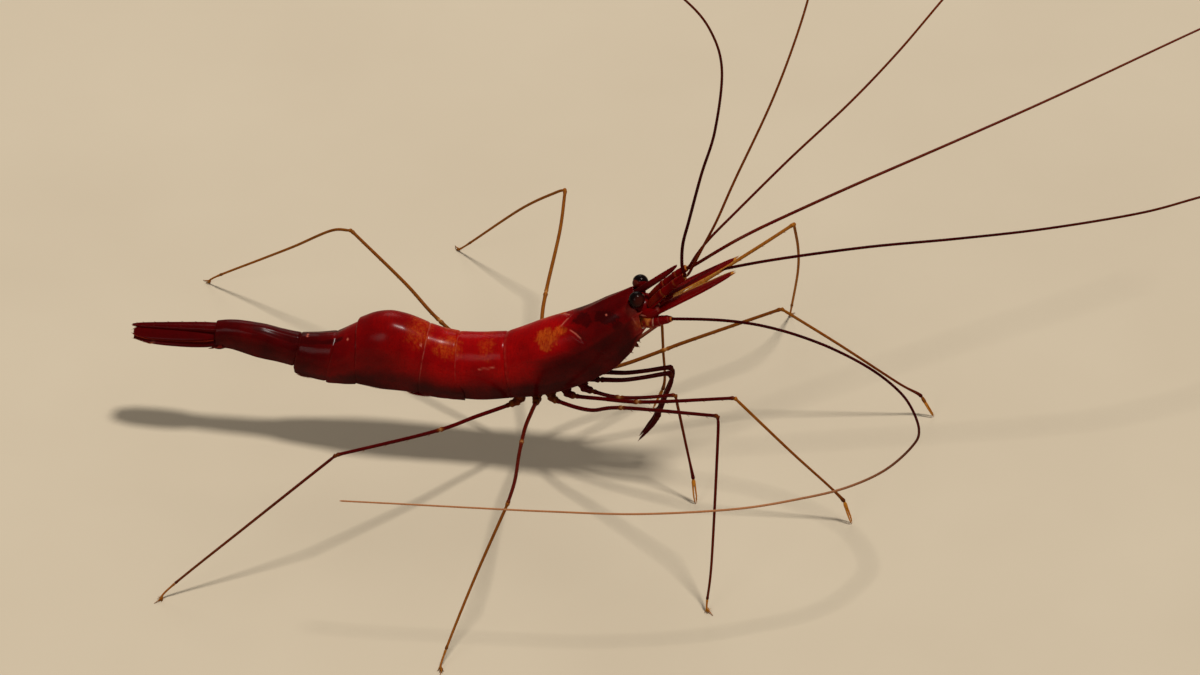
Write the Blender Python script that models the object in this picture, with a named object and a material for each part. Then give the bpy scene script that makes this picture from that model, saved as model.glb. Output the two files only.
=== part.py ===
"""A long-legged deep-sea shrimp at life size, standing on its leg tips with its feelers spread.

Every length below is in millimetres and is scaled to metres as the meshes are made. The animal
looks along +X, its left side is +Y, and the floor under its feet is Z = 0. It is modelled with
X = 0 near the rear edge of the carapace, and at the end an empty carries the whole animal so
that the middle of its footprint lies at the world's origin.
"""

import math

import bmesh
import bpy
from mathutils import Vector

MM = 0.001
GAP = 0.3                     # clearance between pieces that meet
WELD = 0.000001               # metres; joins a bar's end caps to its sides
SHARP_ANGLE = 40              # degrees; edges flatter than this are shaded smooth
ARCH_STEPS = 10               # straight spans over the arched back of a body section
ARCH_RISE = 1.12              # height of that arch over the half width
FLANK_PROFILE = [(0.94, 0.45), (0.80, 0.0)]      # share of the half width, share of the flank
BELLY_PROFILE = [(0.70, 0.30), (0.44, 0.95)]     # share of the half width, share of the hollow
TUBE_SMOOTHNESS = 1           # six-sided legs and feelers
STOUT_SMOOTHNESS = 2          # eight-sided limb bases

SHELL_RED = ((0.36, 0.012, 0.016), 0.32)
BELLY_RED = ((0.17, 0.006, 0.012), 0.38)
TAIL_RED = ((0.30, 0.012, 0.016), 0.34)
LEG_RED = ((0.34, 0.035, 0.012), 0.40)
LEG_AMBER = ((0.50, 0.17, 0.04), 0.42)
FEELER_RED = ((0.28, 0.03, 0.015), 0.40)
BLADE_RED = ((0.42, 0.03, 0.02), 0.35)
EYE_BLACK = ((0.012, 0.004, 0.003), 0.08)

# Body sections: (back x, back z), (edge x, edge z), half width. The edge is the lower rim of the
# shell plate on each side, and the back is the top of its arch.
CARAPACE_SECTIONS = [
    ((1.8, 28.3), (3.6, 16.4), 5.60),
    ((5.0, 29.9), (7.2, 17.4), 5.85),
    ((9.0, 32.1), (12.0, 19.2), 6.10),
    ((13.4, 34.2), (16.9, 21.6), 6.15),
    ((17.5, 36.4), (20.5, 23.9), 5.85),
    ((21.2, 38.9), (23.9, 26.4), 5.35),
    ((24.2, 40.7), (26.5, 29.6), 4.85),
    ((27.0, 42.6), (28.6, 32.6), 4.30),
]
HEAD_SECTIONS = [
    ((27.1, 41.2), (28.2, 34.0), 3.50),
    ((30.0, 41.2), (30.3, 35.0), 3.10),
]
ABDOMEN_SECTIONS = {
    1: [((1.4, 28.1), (3.1, 16.2), 5.50),
        ((-3.2, 27.4), (-2.2, 15.4), 5.55),
        ((-7.75, 26.95), (-7.4, 15.0), 5.60)],
    2: [((-8.05, 27.0), (-7.7, 14.9), 5.75),
        ((-11.0, 27.5), (-11.5, 15.0), 5.80),
        ((-13.6, 28.25), (-15.2, 15.5), 5.85)],
    3: [((-13.9, 28.4), (-15.5, 15.6), 5.90),
        ((-16.6, 29.5), (-18.0, 15.9), 5.90),
        ((-19.2, 30.35), (-20.5, 16.0), 5.85),
        ((-21.9, 30.7), (-22.8, 16.0), 5.75),
        ((-24.9, 30.05), (-25.2, 16.1), 5.50),
        ((-27.2, 28.8), (-27.6, 16.2), 5.25)],
    4: [((-27.5, 27.8), (-27.9, 16.2), 4.95),
        ((-29.8, 26.4), (-30.5, 15.9), 4.85),
        ((-32.0, 24.9), (-33.9, 15.8), 4.60)],
    5: [((-32.3, 24.75), (-34.2, 15.9), 4.40),
        ((-35.8, 24.2), (-37.2, 16.3), 4.10),
        ((-39.2, 23.9), (-40.5, 16.9), 3.50)],
    6: [((-39.5, 23.9), (-40.8, 18.2), 3.00),
        ((-44.1, 24.7), (-44.4, 18.8), 2.75),
        ((-48.1, 25.5), (-48.3, 19.4), 2.60),
        ((-53.5, 25.7), (-53.3, 20.7), 2.40),
        ((-56.5, 25.2), (-56.3, 20.6), 2.30)],
}
BELLY_HOLLOW = 1.6            # how far the belly lies above the shell edges
TAIL_BULGE = -0.4             # the sixth somite's belly is full instead

# Rostrum: x, top z, height, thickness.
ROSTRUM_SECTIONS = [
    (24.6, 41.0, 1.8, 1.6),
    (27.0, 42.9, 1.5, 1.3),
    (29.4, 45.1, 1.3, 0.95),
    (32.3, 47.3, 1.05, 0.75),
    (35.2, 49.5, 0.5, 0.5),
]

EYE_CENTRE = (27.75, 2.75, 42.3)
EYE_RADIUS = 1.6
EYESTALK_HEIGHT = (28.6, 42.15)
EYESTALK_RADIUS = 0.62
EYESTALK_REACH = 1.6

# Breast: x, underside z, thickness, half width.
STERNUM_SECTIONS = [
    (3.6, 15.9, 1.2, 1.5),
    (8.0, 16.9, 1.3, 1.6),
    (13.0, 19.0, 1.3, 1.6),
    (17.5, 21.4, 1.3, 1.7),
    (21.5, 23.8, 1.6, 2.1),
    (25.4, 28.2, 1.6, 1.9),
]

# Tail fan, each blade as x, centre y, centre z, half width, half thickness.
TELSON_SECTIONS = [
    (-56.8, 0.0, 24.1, 1.30, 0.75),
    (-60.0, 0.0, 24.0, 1.25, 0.65),
    (-66.0, 0.0, 23.6, 0.95, 0.50),
    (-71.5, 0.0, 23.2, 0.60, 0.35),
    (-73.6, 0.0, 23.05, 0.30, 0.25),
]
INNER_UROPOD_SECTIONS = [
    (-56.8, 1.05, 22.5, 0.65, 0.40),
    (-58.8, 1.35, 22.5, 0.95, 0.36),
    (-63.0, 1.55, 22.4, 1.15, 0.30),
    (-69.0, 1.45, 22.15, 1.10, 0.27),
    (-72.6, 1.20, 22.0, 0.50, 0.25),
]
OUTER_UROPOD_SECTIONS = [
    (-56.8, 1.15, 21.1, 0.85, 0.60),
    (-58.8, 1.45, 21.1, 1.10, 0.50),
    (-63.0, 1.80, 21.35, 1.25, 0.36),
    (-69.0, 1.75, 21.3, 1.20, 0.30),
    (-73.3, 1.50, 21.15, 0.60, 0.27),
]
UROPOD_TILT = 14              # degrees that a blade's outer edge drops

SCALE_SECTIONS = [            # antennal scale, as the tail fan's blades
    (31.0, 2.70, 39.0, 0.60, 0.30),
    (33.5, 2.45, 40.9, 1.30, 0.30),
    (35.7, 2.30, 42.5, 1.55, 0.28),
    (41.0, 2.25, 46.3, 1.45, 0.26),
    (45.0, 2.20, 49.3, 0.95, 0.25),
    (46.4, 2.20, 50.4, 0.45, 0.25),
]

# Limbs and feelers of the right side have y below zero. Each point is x, y, z, radius.
ANTENNULE = [(30.7, 1.4, 40.7, 0.92), (32.6, 1.45, 43.2, 0.92), (32.9, 1.45, 43.6, 0.80),
             (34.8, 1.4, 45.8, 0.78), (35.1, 1.4, 46.1, 0.68), (36.9, 1.35, 47.9, 0.70)]
ANTENNULE_FLAGELLA = {
    "outer_right": [(36.95, -1.85, 48.75), (36.4, -1.9, 51.1), (36.6, -2.5, 56.5), (37.8, -3.0, 62.7),
                    (40.1, -4.0, 74.3), (42.7, -5.0, 85.7), (43.9, -6.0, 100.3), (41.6, -6.0, 109.0),
                    (36.8, -6.0, 115.3), (28.5, -6.0, 121.5)],
    "inner_right": [(37.6, -1.05, 48.3), (38.9, -1.1, 51.5), (40.5, -1.2, 55.6), (42.9, -0.5, 61.4),
                    (46.0, 1.0, 70.1), (52.1, 4.0, 86.1), (56.2, 7.0, 99.3), (58.8, 10.0, 110.5),
                    (60.0, 13.0, 121.0)],
    "inner_left": [(37.5, 1.0, 48.6), (38.9, 1.3, 51.4), (41.3, 2.2, 54.9), (45.6, 4.6, 59.4),
                   (55.4, 12.0, 68.2), (65.9, 20.0, 76.8), (74.5, 28.0, 84.4), (84.0, 37.5, 94.0),
                   (93.0, 46.0, 101.5)],
    "outer_left": [(38.0, 1.75, 48.1), (43.2, 3.2, 51.6), (47.1, 6.0, 52.9), (52.9, 11.0, 53.7),
                   (66.4, 22.0, 55.3), (86.5, 37.0, 58.1), (105.0, 50.0, 61.5), (131.4, 68.0, 67.5),
                   (141.0, 74.5, 69.0)],
}
FLAGELLUM_RADII = (0.30, 0.25)

ANTENNA_BASE = [(30.8, 3.0, 37.3, 1.10), (32.2, 3.3, 38.0, 1.05), (32.5, 3.35, 38.15, 0.92),
                (34.2, 3.7, 38.9, 0.78), (34.7, 3.85, 39.1, 0.55)]
ANTENNA_ROUTES = {
    "right": [[(34.7, -3.85, 39.1), (35.4, -4.0, 39.3), (41.1, -4.0, 39.8), (46.5, -3.7, 39.7),
               (52.4, -3.8, 39.3), (59.1, -4.7, 38.5), (66.3, -6.7, 37.5)],
              [(66.3, -6.7, 37.5), (73.3, -10.0, 36.5), (78.7, -13.8, 35.5), (82.4, -18.2, 34.7),
               (84.9, -24.6, 33.8)],
              [(84.9, -24.6, 33.8), (84.0, -29.2, 33.3), (79.6, -36.5, 33.0), (73.1, -41.9, 32.5),
               (65.1, -45.7, 32.0)],
              [(65.1, -45.7, 32.0), (53.0, -50.6, 32.0), (35.2, -54.6, 32.0), (18.5, -56.2, 32.0),
               (4.6, -57.1, 32.0), (-9.5, -57.9, 32.0), (-21.0, -58.0, 31.5)]],
    "left": [[(34.7, 3.85, 39.1), (35.4, 4.05, 39.6), (37.5, 4.3, 42.2), (40.2, 4.5, 44.3),
              (43.8, 5.0, 45.6), (54.5, 7.0, 47.7), (71.5, 11.0, 49.4), (88.0, 15.0, 50.1)],
             [(88.0, 15.0, 50.1), (105.0, 19.2, 51.2), (122.9, 24.0, 53.3), (134.2, 28.0, 55.4),
              (148.0, 35.0, 56.5), (160.0, 44.0, 55.5), (169.0, 54.0, 52.5)]],
}

MAXILLIPED = [(17.2, 1.3, 20.3, 0.50), (21.0, 1.25, 20.5, 0.52), (25.0, 1.15, 20.8, 0.50),
              (29.0, 1.05, 21.8, 0.48), (33.6, 0.95, 23.2, 0.48), (34.4, 0.95, 22.6, 0.48),
              (34.4, 0.95, 20.9, 0.46), (33.3, 0.9, 17.3, 0.48), (31.5, 0.85, 11.5, 0.52),
              (29.9, 0.8, 8.5, 0.42), (28.2, 0.8, 5.8, 0.25)]

# Walking legs. "upper" runs from the coxa to the knee, and "lower" from the knee to the floor.
COXA_RADIUS = 0.80
HIP_RADIUS = 0.74
THIGH_ROOT_RADIUS = 0.50
THIGH_RADII = (0.48, 0.36)
KNEE_RADIUS = 0.42
KNEE_LENGTH = 1.2
SHIN_RADII = (0.34, 0.28)
PINCER_RADII = (0.36, 0.46, 0.30, 0.28)
FOOT_RISE = 0.7               # the last length of each leg, which stands upright on its flat end
LEGS = {
    "5_right": {"upper": [(4.4, -2.9, 16.7), (3.9, -3.3, 14.7), (-2.8, -11.1, 16.4),
                          (-9.9, -19.8, 18.7), (-25.7, -37.0, 25.0)],
                "lower": [(-40.5, -45.4, 14.0), (-55.6, -53.6, 2.4)], "foot": (-57.4, -55.4)},
    "4_right": {"upper": [(7.8, -2.9, 18.0), (8.1, -3.3, 15.9), (8.0, -9.2, 17.5), (7.9, -17.3, 19.7),
                          (8.5, -28.5, 22.5), (9.5, -40.4, 25.5), (9.7, -50.1, 28.0)],
                "lower": [(4.2, -58.5, 14.9), (-0.5, -66.4, 2.2)], "foot": (-0.5, -67.8)},
    "3_right": {"upper": [(11.0, -2.9, 19.1), (10.9, -3.4, 17.1), (13.0, -5.5, 17.4),
                          (19.7, -10.8, 20.3), (26.8, -15.0, 25.0), (46.8, -28.5, 36.0)],
                "lower": [(47.1, -30.3, 31.8), (47.4, -39.8, 9.6), (47.0, -43.4, 1.6)],
                "foot": (47.3, -43.9)},
    "2_right": {"upper": [(14.2, -2.9, 20.5), (13.9, -3.3, 18.6), (15.8, -4.2, 18.2),
                          (21.0, -6.1, 19.6), (30.3, -8.8, 21.9), (48.3, -12.7, 28.0)],
                "lower": [(59.4, -12.8, 16.1), (70.3, -12.9, 4.7)], "foot": (72.1, -14.0)},
    "1_right": {"upper": [(17.5, -2.95, 22.2), (17.2, -3.3, 20.5), (18.4, -3.8, 19.8),
                          (23.5, -5.0, 19.5), (28.9, -5.6, 20.3), (35.9, -5.9, 22.0)],
                "lower": [(38.2, -8.4, 13.0), (40.4, -10.9, 4.4)], "foot": (41.0, -12.2)},
    "5_left": {"upper": [(4.4, 2.9, 16.7), (3.9, 3.3, 14.7), (-5.5, 8.8, 16.4), (-14.9, 15.1, 19.4),
                         (-22.5, 21.7, 22.5), (-35.1, 31.6, 27.0)],
               "lower": [(-39.7, 33.9, 24.8), (-48.1, 37.1, 17.6), (-55.3, 40.0, 11.6),
                         (-66.7, 44.2, 2.4)],
               "foot": (-68.5, 44.9)},
    "4_left": {"upper": [(7.8, 2.9, 18.0), (8.1, 3.3, 15.9), (7.2, 9.6, 17.8), (6.0, 17.7, 20.0),
                         (5.9, 25.0, 21.8), (6.4, 39.6, 25.3), (6.0, 50.0, 28.0)],
               "lower": [(3.7, 51.3, 26.1), (-4.1, 55.5, 18.1), (-16.7, 62.1, 2.6)],
               "foot": (-19.1, 63.4)},
    "3_left": {"upper": [(11.0, 2.9, 19.1), (10.9, 3.4, 17.1), (13.0, 5.5, 17.4), (19.7, 10.8, 20.3),
                         (27.5, 15.6, 24.0), (46.4, 28.4, 32.4), (54.5, 34.2, 36.0)],
               "lower": [(55.1, 38.4, 26.9), (54.8, 42.7, 17.6), (53.1, 49.2, 3.2)],
               "foot": (52.7, 50.6)},
    "2_left": {"upper": [(14.2, 2.9, 20.5), (13.9, 3.3, 18.6), (16.8, 4.2, 18.3), (23.0, 5.3, 19.0),
                         (31.6, 8.8, 21.2), (36.3, 10.8, 22.5), (54.0, 17.9, 27.0)],
               "lower": [(65.4, 19.6, 18.1), (77.6, 21.4, 8.1), (82.5, 22.1, 4.5)],
               "foot": (85.1, 21.6)},
    "1_left": {"upper": [(17.5, 2.95, 22.2), (17.2, 3.3, 20.5), (18.6, 4.4, 20.1), (24.0, 9.8, 20.5),
                         (30.3, 16.8, 22.0)],
               "lower": [(30.6, 16.7, 15.3), (30.9, 16.6, 6.5)], "foot": (28.7, 16.3)},
}
# Swimming legs: root x, shell edge z there, side offset, blade half width, share of full length.
PLEOPOD_ROOTS = {
    1: (-2.0, 15.4, 2.5, 1.15, 1.0),
    2: (-10.2, 14.9, 2.5, 1.20, 1.0),
    3: (-18.7, 15.9, 2.5, 1.20, 1.0),
    4: (-28.6, 16.0, 2.1, 1.00, 0.85),
    5: (-34.8, 16.0, 1.7, 0.80, 0.70),
}
# Along a swimming leg: x and z from its root, share of the half width, half thickness.
PLEOPOD_PROFILE = [(0.0, 0.7, 0.50, 0.50), (-1.6, -0.35, 0.75, 0.48), (-4.2, -0.95, 1.0, 0.36),
                   (-7.0, -1.25, 0.8, 0.28), (-8.0, -1.35, 0.35, 0.25)]


def clear_scene():
    """Empty the scene of its objects."""
    for item in list(bpy.data.objects):
        bpy.data.objects.remove(item, do_unlink=True)


def make_collection(name):
    """A new collection linked to the scene."""
    group = bpy.data.collections.new(name)
    bpy.context.scene.collection.children.link(group)
    return group


def make_material(name, finish):
    """A Principled material of one colour and roughness."""
    colour, roughness = finish
    material = bpy.data.materials.new(name)
    material.use_nodes = True
    shader = material.node_tree.nodes["Principled BSDF"]
    shader.inputs["Base Color"].default_value = (*colour, 1.0)
    shader.inputs["Roughness"].default_value = roughness
    shader.inputs["Metallic"].default_value = 0.0
    return material


def finish_object(item, finish):
    """Give an object its material, its collection and smooth round sides."""
    item.data.materials.clear()
    item.data.materials.append(make_material(item.name + "_material", finish))
    SHRIMP.objects.link(item)
    item.parent = STAND_POINT
    if item.type == "MESH":
        item.data.shade_smooth()
        item.data.set_sharp_from_angle(angle=math.radians(SHARP_ANGLE))
    return item


def make_cutter(item):
    """Keep an object only as a tool for a Boolean."""
    CUTTERS.objects.link(item)
    item.parent = STAND_POINT
    item.hide_render = True
    item.display_type = "WIRE"
    return item


def loft_mesh(name, rings):
    """A closed mesh through rings of points in millimetres, with a flat face at each end."""
    mesh = bpy.data.meshes.new(name)
    shape = bmesh.new()
    rows = [[shape.verts.new(Vector(point) * MM) for point in ring] for ring in rings]
    count = len(rows[0])
    for near, far in zip(rows, rows[1:]):
        for place in range(count):
            after = (place + 1) % count
            shape.faces.new((near[place], near[after], far[after], far[place]))
    shape.faces.new(rows[0])
    shape.faces.new(rows[-1])
    bmesh.ops.recalc_face_normals(shape, faces=shape.faces)
    shape.to_mesh(mesh)
    shape.free()
    return mesh


def body_ring(back, edge, half_width, hollow=BELLY_HOLLOW):
    """A body section: arched back, flanks that draw in to the shell edges, and a hollow belly."""
    foot = Vector((edge[0], 0.0, edge[1]))
    up = Vector((back[0], 0.0, back[1])) - foot
    height = up.length
    up.normalize()
    arch = ARCH_RISE * half_width
    outline = []
    for step in range(ARCH_STEPS + 1):
        angle = math.pi * step / ARCH_STEPS
        outline.append((half_width * math.cos(angle), height - arch * (1.0 - math.sin(angle))))
    lower = [(share, rise * (height - arch)) for share, rise in FLANK_PROFILE]
    lower += [(share, rise * hollow) for share, rise in BELLY_PROFILE]
    outline += [(-share * half_width, rise) for share, rise in lower]
    outline.append((0.0, hollow))
    outline += [(share * half_width, rise) for share, rise in reversed(lower)]
    return [tuple(foot + up * rise + Vector((0.0, side, 0.0))) for side, rise in outline]


def body_plate(name, sections, hollow=BELLY_HOLLOW):
    """One solid length of the body."""
    rings = [body_ring(*section, hollow=hollow) for section in sections]
    return finish_object(bpy.data.objects.new(name, loft_mesh(name, rings)), SHELL_RED)


def blade_rings(sections, side, tilt):
    """Lens-shaped rings of a thin blade, whose outer edge drops by the tilt in degrees."""
    lean = math.radians(tilt)
    corners = [(-1.0, 0.0), (-0.55, 0.85), (0.0, 1.0), (0.55, 0.85),
               (1.0, 0.0), (0.55, -0.85), (0.0, -1.0), (-0.55, -0.85)]
    slope = math.atan2(sections[-1][2] - sections[0][2], sections[-1][0] - sections[0][0])
    rings = []
    for x, y, z, half_width, half_thickness in sections:
        ring = []
        for across, through in corners:
            out = across * half_width * math.cos(lean) + through * half_thickness * math.sin(lean)
            rise = through * half_thickness * math.cos(lean) - across * half_width * math.sin(lean)
            forward = -rise * math.sin(slope) * math.copysign(1.0, math.cos(slope))
            ring.append((x + forward, side * (y + out), z + rise * abs(math.cos(slope))))
        rings.append(ring)
    return rings


def blade(name, sections, side, tilt, finish):
    """A thin leaf-shaped plate."""
    mesh = loft_mesh(name, blade_rings(sections, side, tilt))
    return finish_object(bpy.data.objects.new(name, mesh), finish)


def smooth_route(points, spans):
    """Points of a Catmull-Rom curve through the given points, with some spans between each pair."""
    knots = [Vector(point) for point in points]
    knots = [2 * knots[0] - knots[1]] + knots + [2 * knots[-1] - knots[-2]]
    route = []
    for before, start, end, after in zip(knots, knots[1:], knots[2:], knots[3:]):
        for step in range(spans):
            t = step / spans
            bend = (2 * before - 5 * start + 4 * end - after) * t * t
            twist = (3 * start - before - 3 * end + after) * t ** 3
            route.append(0.5 * (2 * start + (end - before) * t + bend + twist))
    route.append(knots[-2])
    return route


def tapered(route, radii):
    """A radius for each point of a route, from the first value to the second."""
    lengths = [0.0]
    for start, end in zip(route, route[1:]):
        lengths.append(lengths[-1] + (end - start).length)
    return [radii[0] + (radii[1] - radii[0]) * length / lengths[-1] for length in lengths]


def tube(name, route, radii, finish, smoothness=TUBE_SMOOTHNESS):
    """A round bar along a route in millimetres, with a radius at each point."""
    curve = bpy.data.curves.new(name, "CURVE")
    curve.dimensions = "3D"
    curve.bevel_depth = MM
    curve.bevel_resolution = smoothness
    curve.use_fill_caps = True
    spline = curve.splines.new("POLY")
    spline.points.add(len(route) - 1)
    for knot, point, radius in zip(spline.points, route, radii):
        knot.co = (*(Vector(point) * MM), 1.0)
        knot.radius = radius
    return finish_object(bpy.data.objects.new(name, curve), finish)


def mesh_from_curve(item):
    """Turn a curve object into a mesh object with welded caps, for use with a Boolean."""
    depsgraph = bpy.context.evaluated_depsgraph_get()
    mesh = bpy.data.meshes.new_from_object(item.evaluated_get(depsgraph))
    shape = bmesh.new()
    shape.from_mesh(mesh)
    bmesh.ops.remove_doubles(shape, verts=shape.verts, dist=WELD)
    bmesh.ops.recalc_face_normals(shape, faces=shape.faces)
    shape.to_mesh(mesh)
    shape.free()
    name = item.name
    place = item.matrix_world.copy()
    bpy.data.objects.remove(item, do_unlink=True)
    solid = bpy.data.objects.new(name, mesh)
    solid.matrix_world = place
    mesh.name = name
    return solid


def boolean(item, tool, operation):
    """Cut an object with a tool, or join the tool to it."""
    cut = item.modifiers.new(operation.lower() + "_" + tool.name, "BOOLEAN")
    cut.operation = operation
    cut.solver = "EXACT"
    cut.object = tool


def sphere(name, centre, radius, segments, rings):
    """A round ball with its place in its mesh."""
    mesh = bpy.data.meshes.new(name)
    shape = bmesh.new()
    bmesh.ops.create_uvsphere(shape, u_segments=segments, v_segments=rings, radius=radius * MM)
    bmesh.ops.translate(shape, verts=shape.verts, vec=Vector(centre) * MM)
    shape.to_mesh(mesh)
    shape.free()
    return bpy.data.objects.new(name, mesh)


def mirrored(points, side):
    """Points of a left limb, moved to the given side."""
    return [(point[0], side * point[1], *point[2:]) for point in points]


def build_carapace(sockets):
    """The head shield with its beak, hollowed at the eyes."""
    rings = [body_ring(*section) for section in CARAPACE_SECTIONS]
    rings += [body_ring(*section, hollow=0.0) for section in HEAD_SECTIONS]
    shield = bpy.data.objects.new("carapace", loft_mesh("carapace", rings))
    beak_rings = []
    for x, top, height, thickness in ROSTRUM_SECTIONS:
        half = 0.5 * thickness
        beak_rings.append([(x, 0.0, top), (x, half, top - 0.35 * height), (x, half, top - 0.7 * height),
                           (x, 0.0, top - height), (x, -half, top - 0.7 * height),
                           (x, -half, top - 0.35 * height)])
    beak = make_cutter(bpy.data.objects.new("beak", loft_mesh("beak", beak_rings)))
    boolean(shield, beak, "UNION")
    for socket in sockets:
        boolean(shield, socket, "DIFFERENCE")
    return finish_object(shield, SHELL_RED)


def build_eyes():
    """Both eyes and the bar of the eyestalks, and the round sockets that clear them."""
    sockets = []
    for side, word in ((1, "left"), (-1, "right")):
        centre = (EYE_CENTRE[0], side * EYE_CENTRE[1], EYE_CENTRE[2])
        finish_object(sphere("eye_" + word, centre, EYE_RADIUS, 14, 9), EYE_BLACK)
        socket = sphere("socket_" + word, centre, EYE_RADIUS + GAP, 16, 10)
        sockets.append(make_cutter(socket))
    x, z = EYESTALK_HEIGHT
    route = [(x, side * EYESTALK_REACH, z) for side in (-1, 0, 1)]
    bar = tube("eyestalks", route, [EYESTALK_RADIUS] * len(route), BELLY_RED, STOUT_SMOOTHNESS)
    bar = mesh_from_curve(bar)
    for socket in sockets:
        boolean(bar, socket, "DIFFERENCE")
    finish_object(bar, BELLY_RED)
    return sockets


def build_sternum():
    """The breast between the leg roots, up to the mouth."""
    rings = []
    for x, under, thickness, half_width in STERNUM_SECTIONS:
        corners = [(0.0, 0.0), (0.75, 0.15), (1.0, 0.55), (0.8, 0.9), (0.0, 1.0),
                   (-0.8, 0.9), (-1.0, 0.55), (-0.75, 0.15)]
        rings.append([(x, side * half_width, under + rise * thickness) for side, rise in corners])
    finish_object(bpy.data.objects.new("sternum", loft_mesh("sternum", rings)), BELLY_RED)


def build_abdomen():
    """The six somites of the abdomen, with the swimming legs under the first five."""
    for number, sections in ABDOMEN_SECTIONS.items():
        hollow = TAIL_BULGE if number == 6 else BELLY_HOLLOW
        body_plate("abdomen_%d" % number, sections, hollow)
    for number, (root_x, edge_z, offset, half_width, length) in PLEOPOD_ROOTS.items():
        for side, word in ((1, "left"), (-1, "right")):
            sections = [(root_x + length * dx, offset, edge_z + length * dz,
                         share * half_width, thickness)
                        for dx, dz, share, thickness in PLEOPOD_PROFILE]
            blade("pleopod_%d_%s" % (number, word), sections, side, 0, BELLY_RED)


def build_tail():
    """The closed tail fan: telson and two pairs of uropods."""
    blade("telson", TELSON_SECTIONS, 1, 0, TAIL_RED)
    for side, word in ((1, "left"), (-1, "right")):
        blade("uropod_inner_" + word, INNER_UROPOD_SECTIONS, side, UROPOD_TILT, TAIL_RED)
        blade("uropod_outer_" + word, OUTER_UROPOD_SECTIONS, side, UROPOD_TILT, TAIL_RED)


def build_feelers():
    """Antennules, antennae and the blades beside them."""
    for side, word in ((1, "left"), (-1, "right")):
        stem = mirrored(ANTENNULE, side)
        tube("antennule_" + word, [point[:3] for point in stem], [point[3] for point in stem],
             BLADE_RED, STOUT_SMOOTHNESS)
        blade("antennal_scale_" + word, SCALE_SECTIONS, side, 0, BLADE_RED)
    for place, points in ANTENNULE_FLAGELLA.items():
        route = smooth_route(points, 2)
        tube("antennule_flagellum_" + place, route, tapered(route, FLAGELLUM_RADII), FEELER_RED)
    for word, lengths in ANTENNA_ROUTES.items():
        side = 1 if word == "left" else -1
        base = mirrored(ANTENNA_BASE, side)
        for number, points in enumerate(lengths, start=1):
            route = smooth_route(points, 2)
            radii = [FLAGELLUM_RADII[1] if number > 1 else FLAGELLUM_RADII[0]] * len(route)
            if number > 1:
                route[0] = route[0] + (route[1] - route[0]).normalized() * GAP
            else:
                route = [Vector(point[:3]) for point in base] + route[1:]
                radii = [point[3] for point in base] + radii[1:]
            tube("antenna_%s_%d" % (word, number), route, radii, FEELER_RED)


def build_limbs():
    """Third maxillipeds and the ten walking legs."""
    for side, word in ((1, "left"), (-1, "right")):
        points = mirrored(MAXILLIPED, side)
        tube("maxilliped_" + word, [point[:3] for point in points], [point[3] for point in points],
             LEG_RED, STOUT_SMOOTHNESS)
    for place, leg in LEGS.items():
        build_leg(place, leg)


def build_leg(place, leg):
    """A walking leg: one bent piece for the short first pair, and two that meet at the knee."""
    upper = [Vector(point) for point in leg["upper"]]
    knee = upper[-1]
    foot = Vector((*leg["foot"], 0.0))
    ankle = foot + Vector((0.0, 0.0, FOOT_RISE))
    lower = [Vector(point) for point in leg["lower"]] + [ankle, foot]
    thigh = smooth_route(upper[1:], 2)
    thigh_radii = tapered(thigh, THIGH_RADII)
    thigh_radii[0] = HIP_RADIUS
    thigh_radii[1] = THIGH_ROOT_RADIUS
    if place.startswith("1_"):
        route = [upper[0]] + thigh + lower
        radii = [COXA_RADIUS] + thigh_radii
        radii[-1] = KNEE_RADIUS
        radii += PINCER_RADII
        tube("leg_" + place, route, radii, LEG_RED)
        return
    along = (knee - thigh[-2]).normalized()
    thigh[-1] = knee - along * (KNEE_RADIUS + GAP)
    number, word = place.split("_")
    tube("leg_%s_upper_%s" % (number, word), [upper[0]] + thigh, [COXA_RADIUS] + thigh_radii, LEG_RED)
    down = (lower[0] - knee).normalized()
    shin = [knee - down * 0.5 * KNEE_RADIUS, knee + down * KNEE_LENGTH] + lower
    radii = [KNEE_RADIUS, KNEE_RADIUS] + tapered(lower, SHIN_RADII)
    tube("leg_%s_lower_%s" % (number, word), shin, radii, LEG_AMBER)


def centre_footprint():
    """Move the animal so that the middle of its outer box is over the origin."""
    depsgraph = bpy.context.evaluated_depsgraph_get()
    corners = []
    for item in STAND_POINT.children:
        if item.name in CUTTERS.objects:
            continue
        solid = item.evaluated_get(depsgraph)
        mesh = solid.to_mesh()
        corners += [item.matrix_world @ vertex.co for vertex in mesh.vertices]
        solid.to_mesh_clear()
    for axis in (0, 1):
        values = [corner[axis] for corner in corners]
        STAND_POINT.location[axis] = -0.5 * (min(values) + max(values))


clear_scene()
SHRIMP = make_collection("shrimp")
CUTTERS = make_collection("shrimp_cutters")
STAND_POINT = bpy.data.objects.new("stand_point", None)
SHRIMP.objects.link(STAND_POINT)

build_carapace(build_eyes())
build_sternum()
build_abdomen()
build_tail()
build_feelers()
build_limbs()
bpy.context.view_layer.update()
centre_footprint()
bpy.context.view_layer.update()
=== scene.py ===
"""The looks of a long-legged deep-sea shrimp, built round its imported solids.

Lengths are in millimetres in the animal's own frame, as in the part's source: it looks along +X, its
left side is +Y, the floor is Z = 0, and X = 0 lies near the rear edge of the carapace. place() takes
such a point into the frame's metres. Points that both sides share are the left side's.
"""

import math
import random

import bmesh
import bpy
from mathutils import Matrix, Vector, noise


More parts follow.
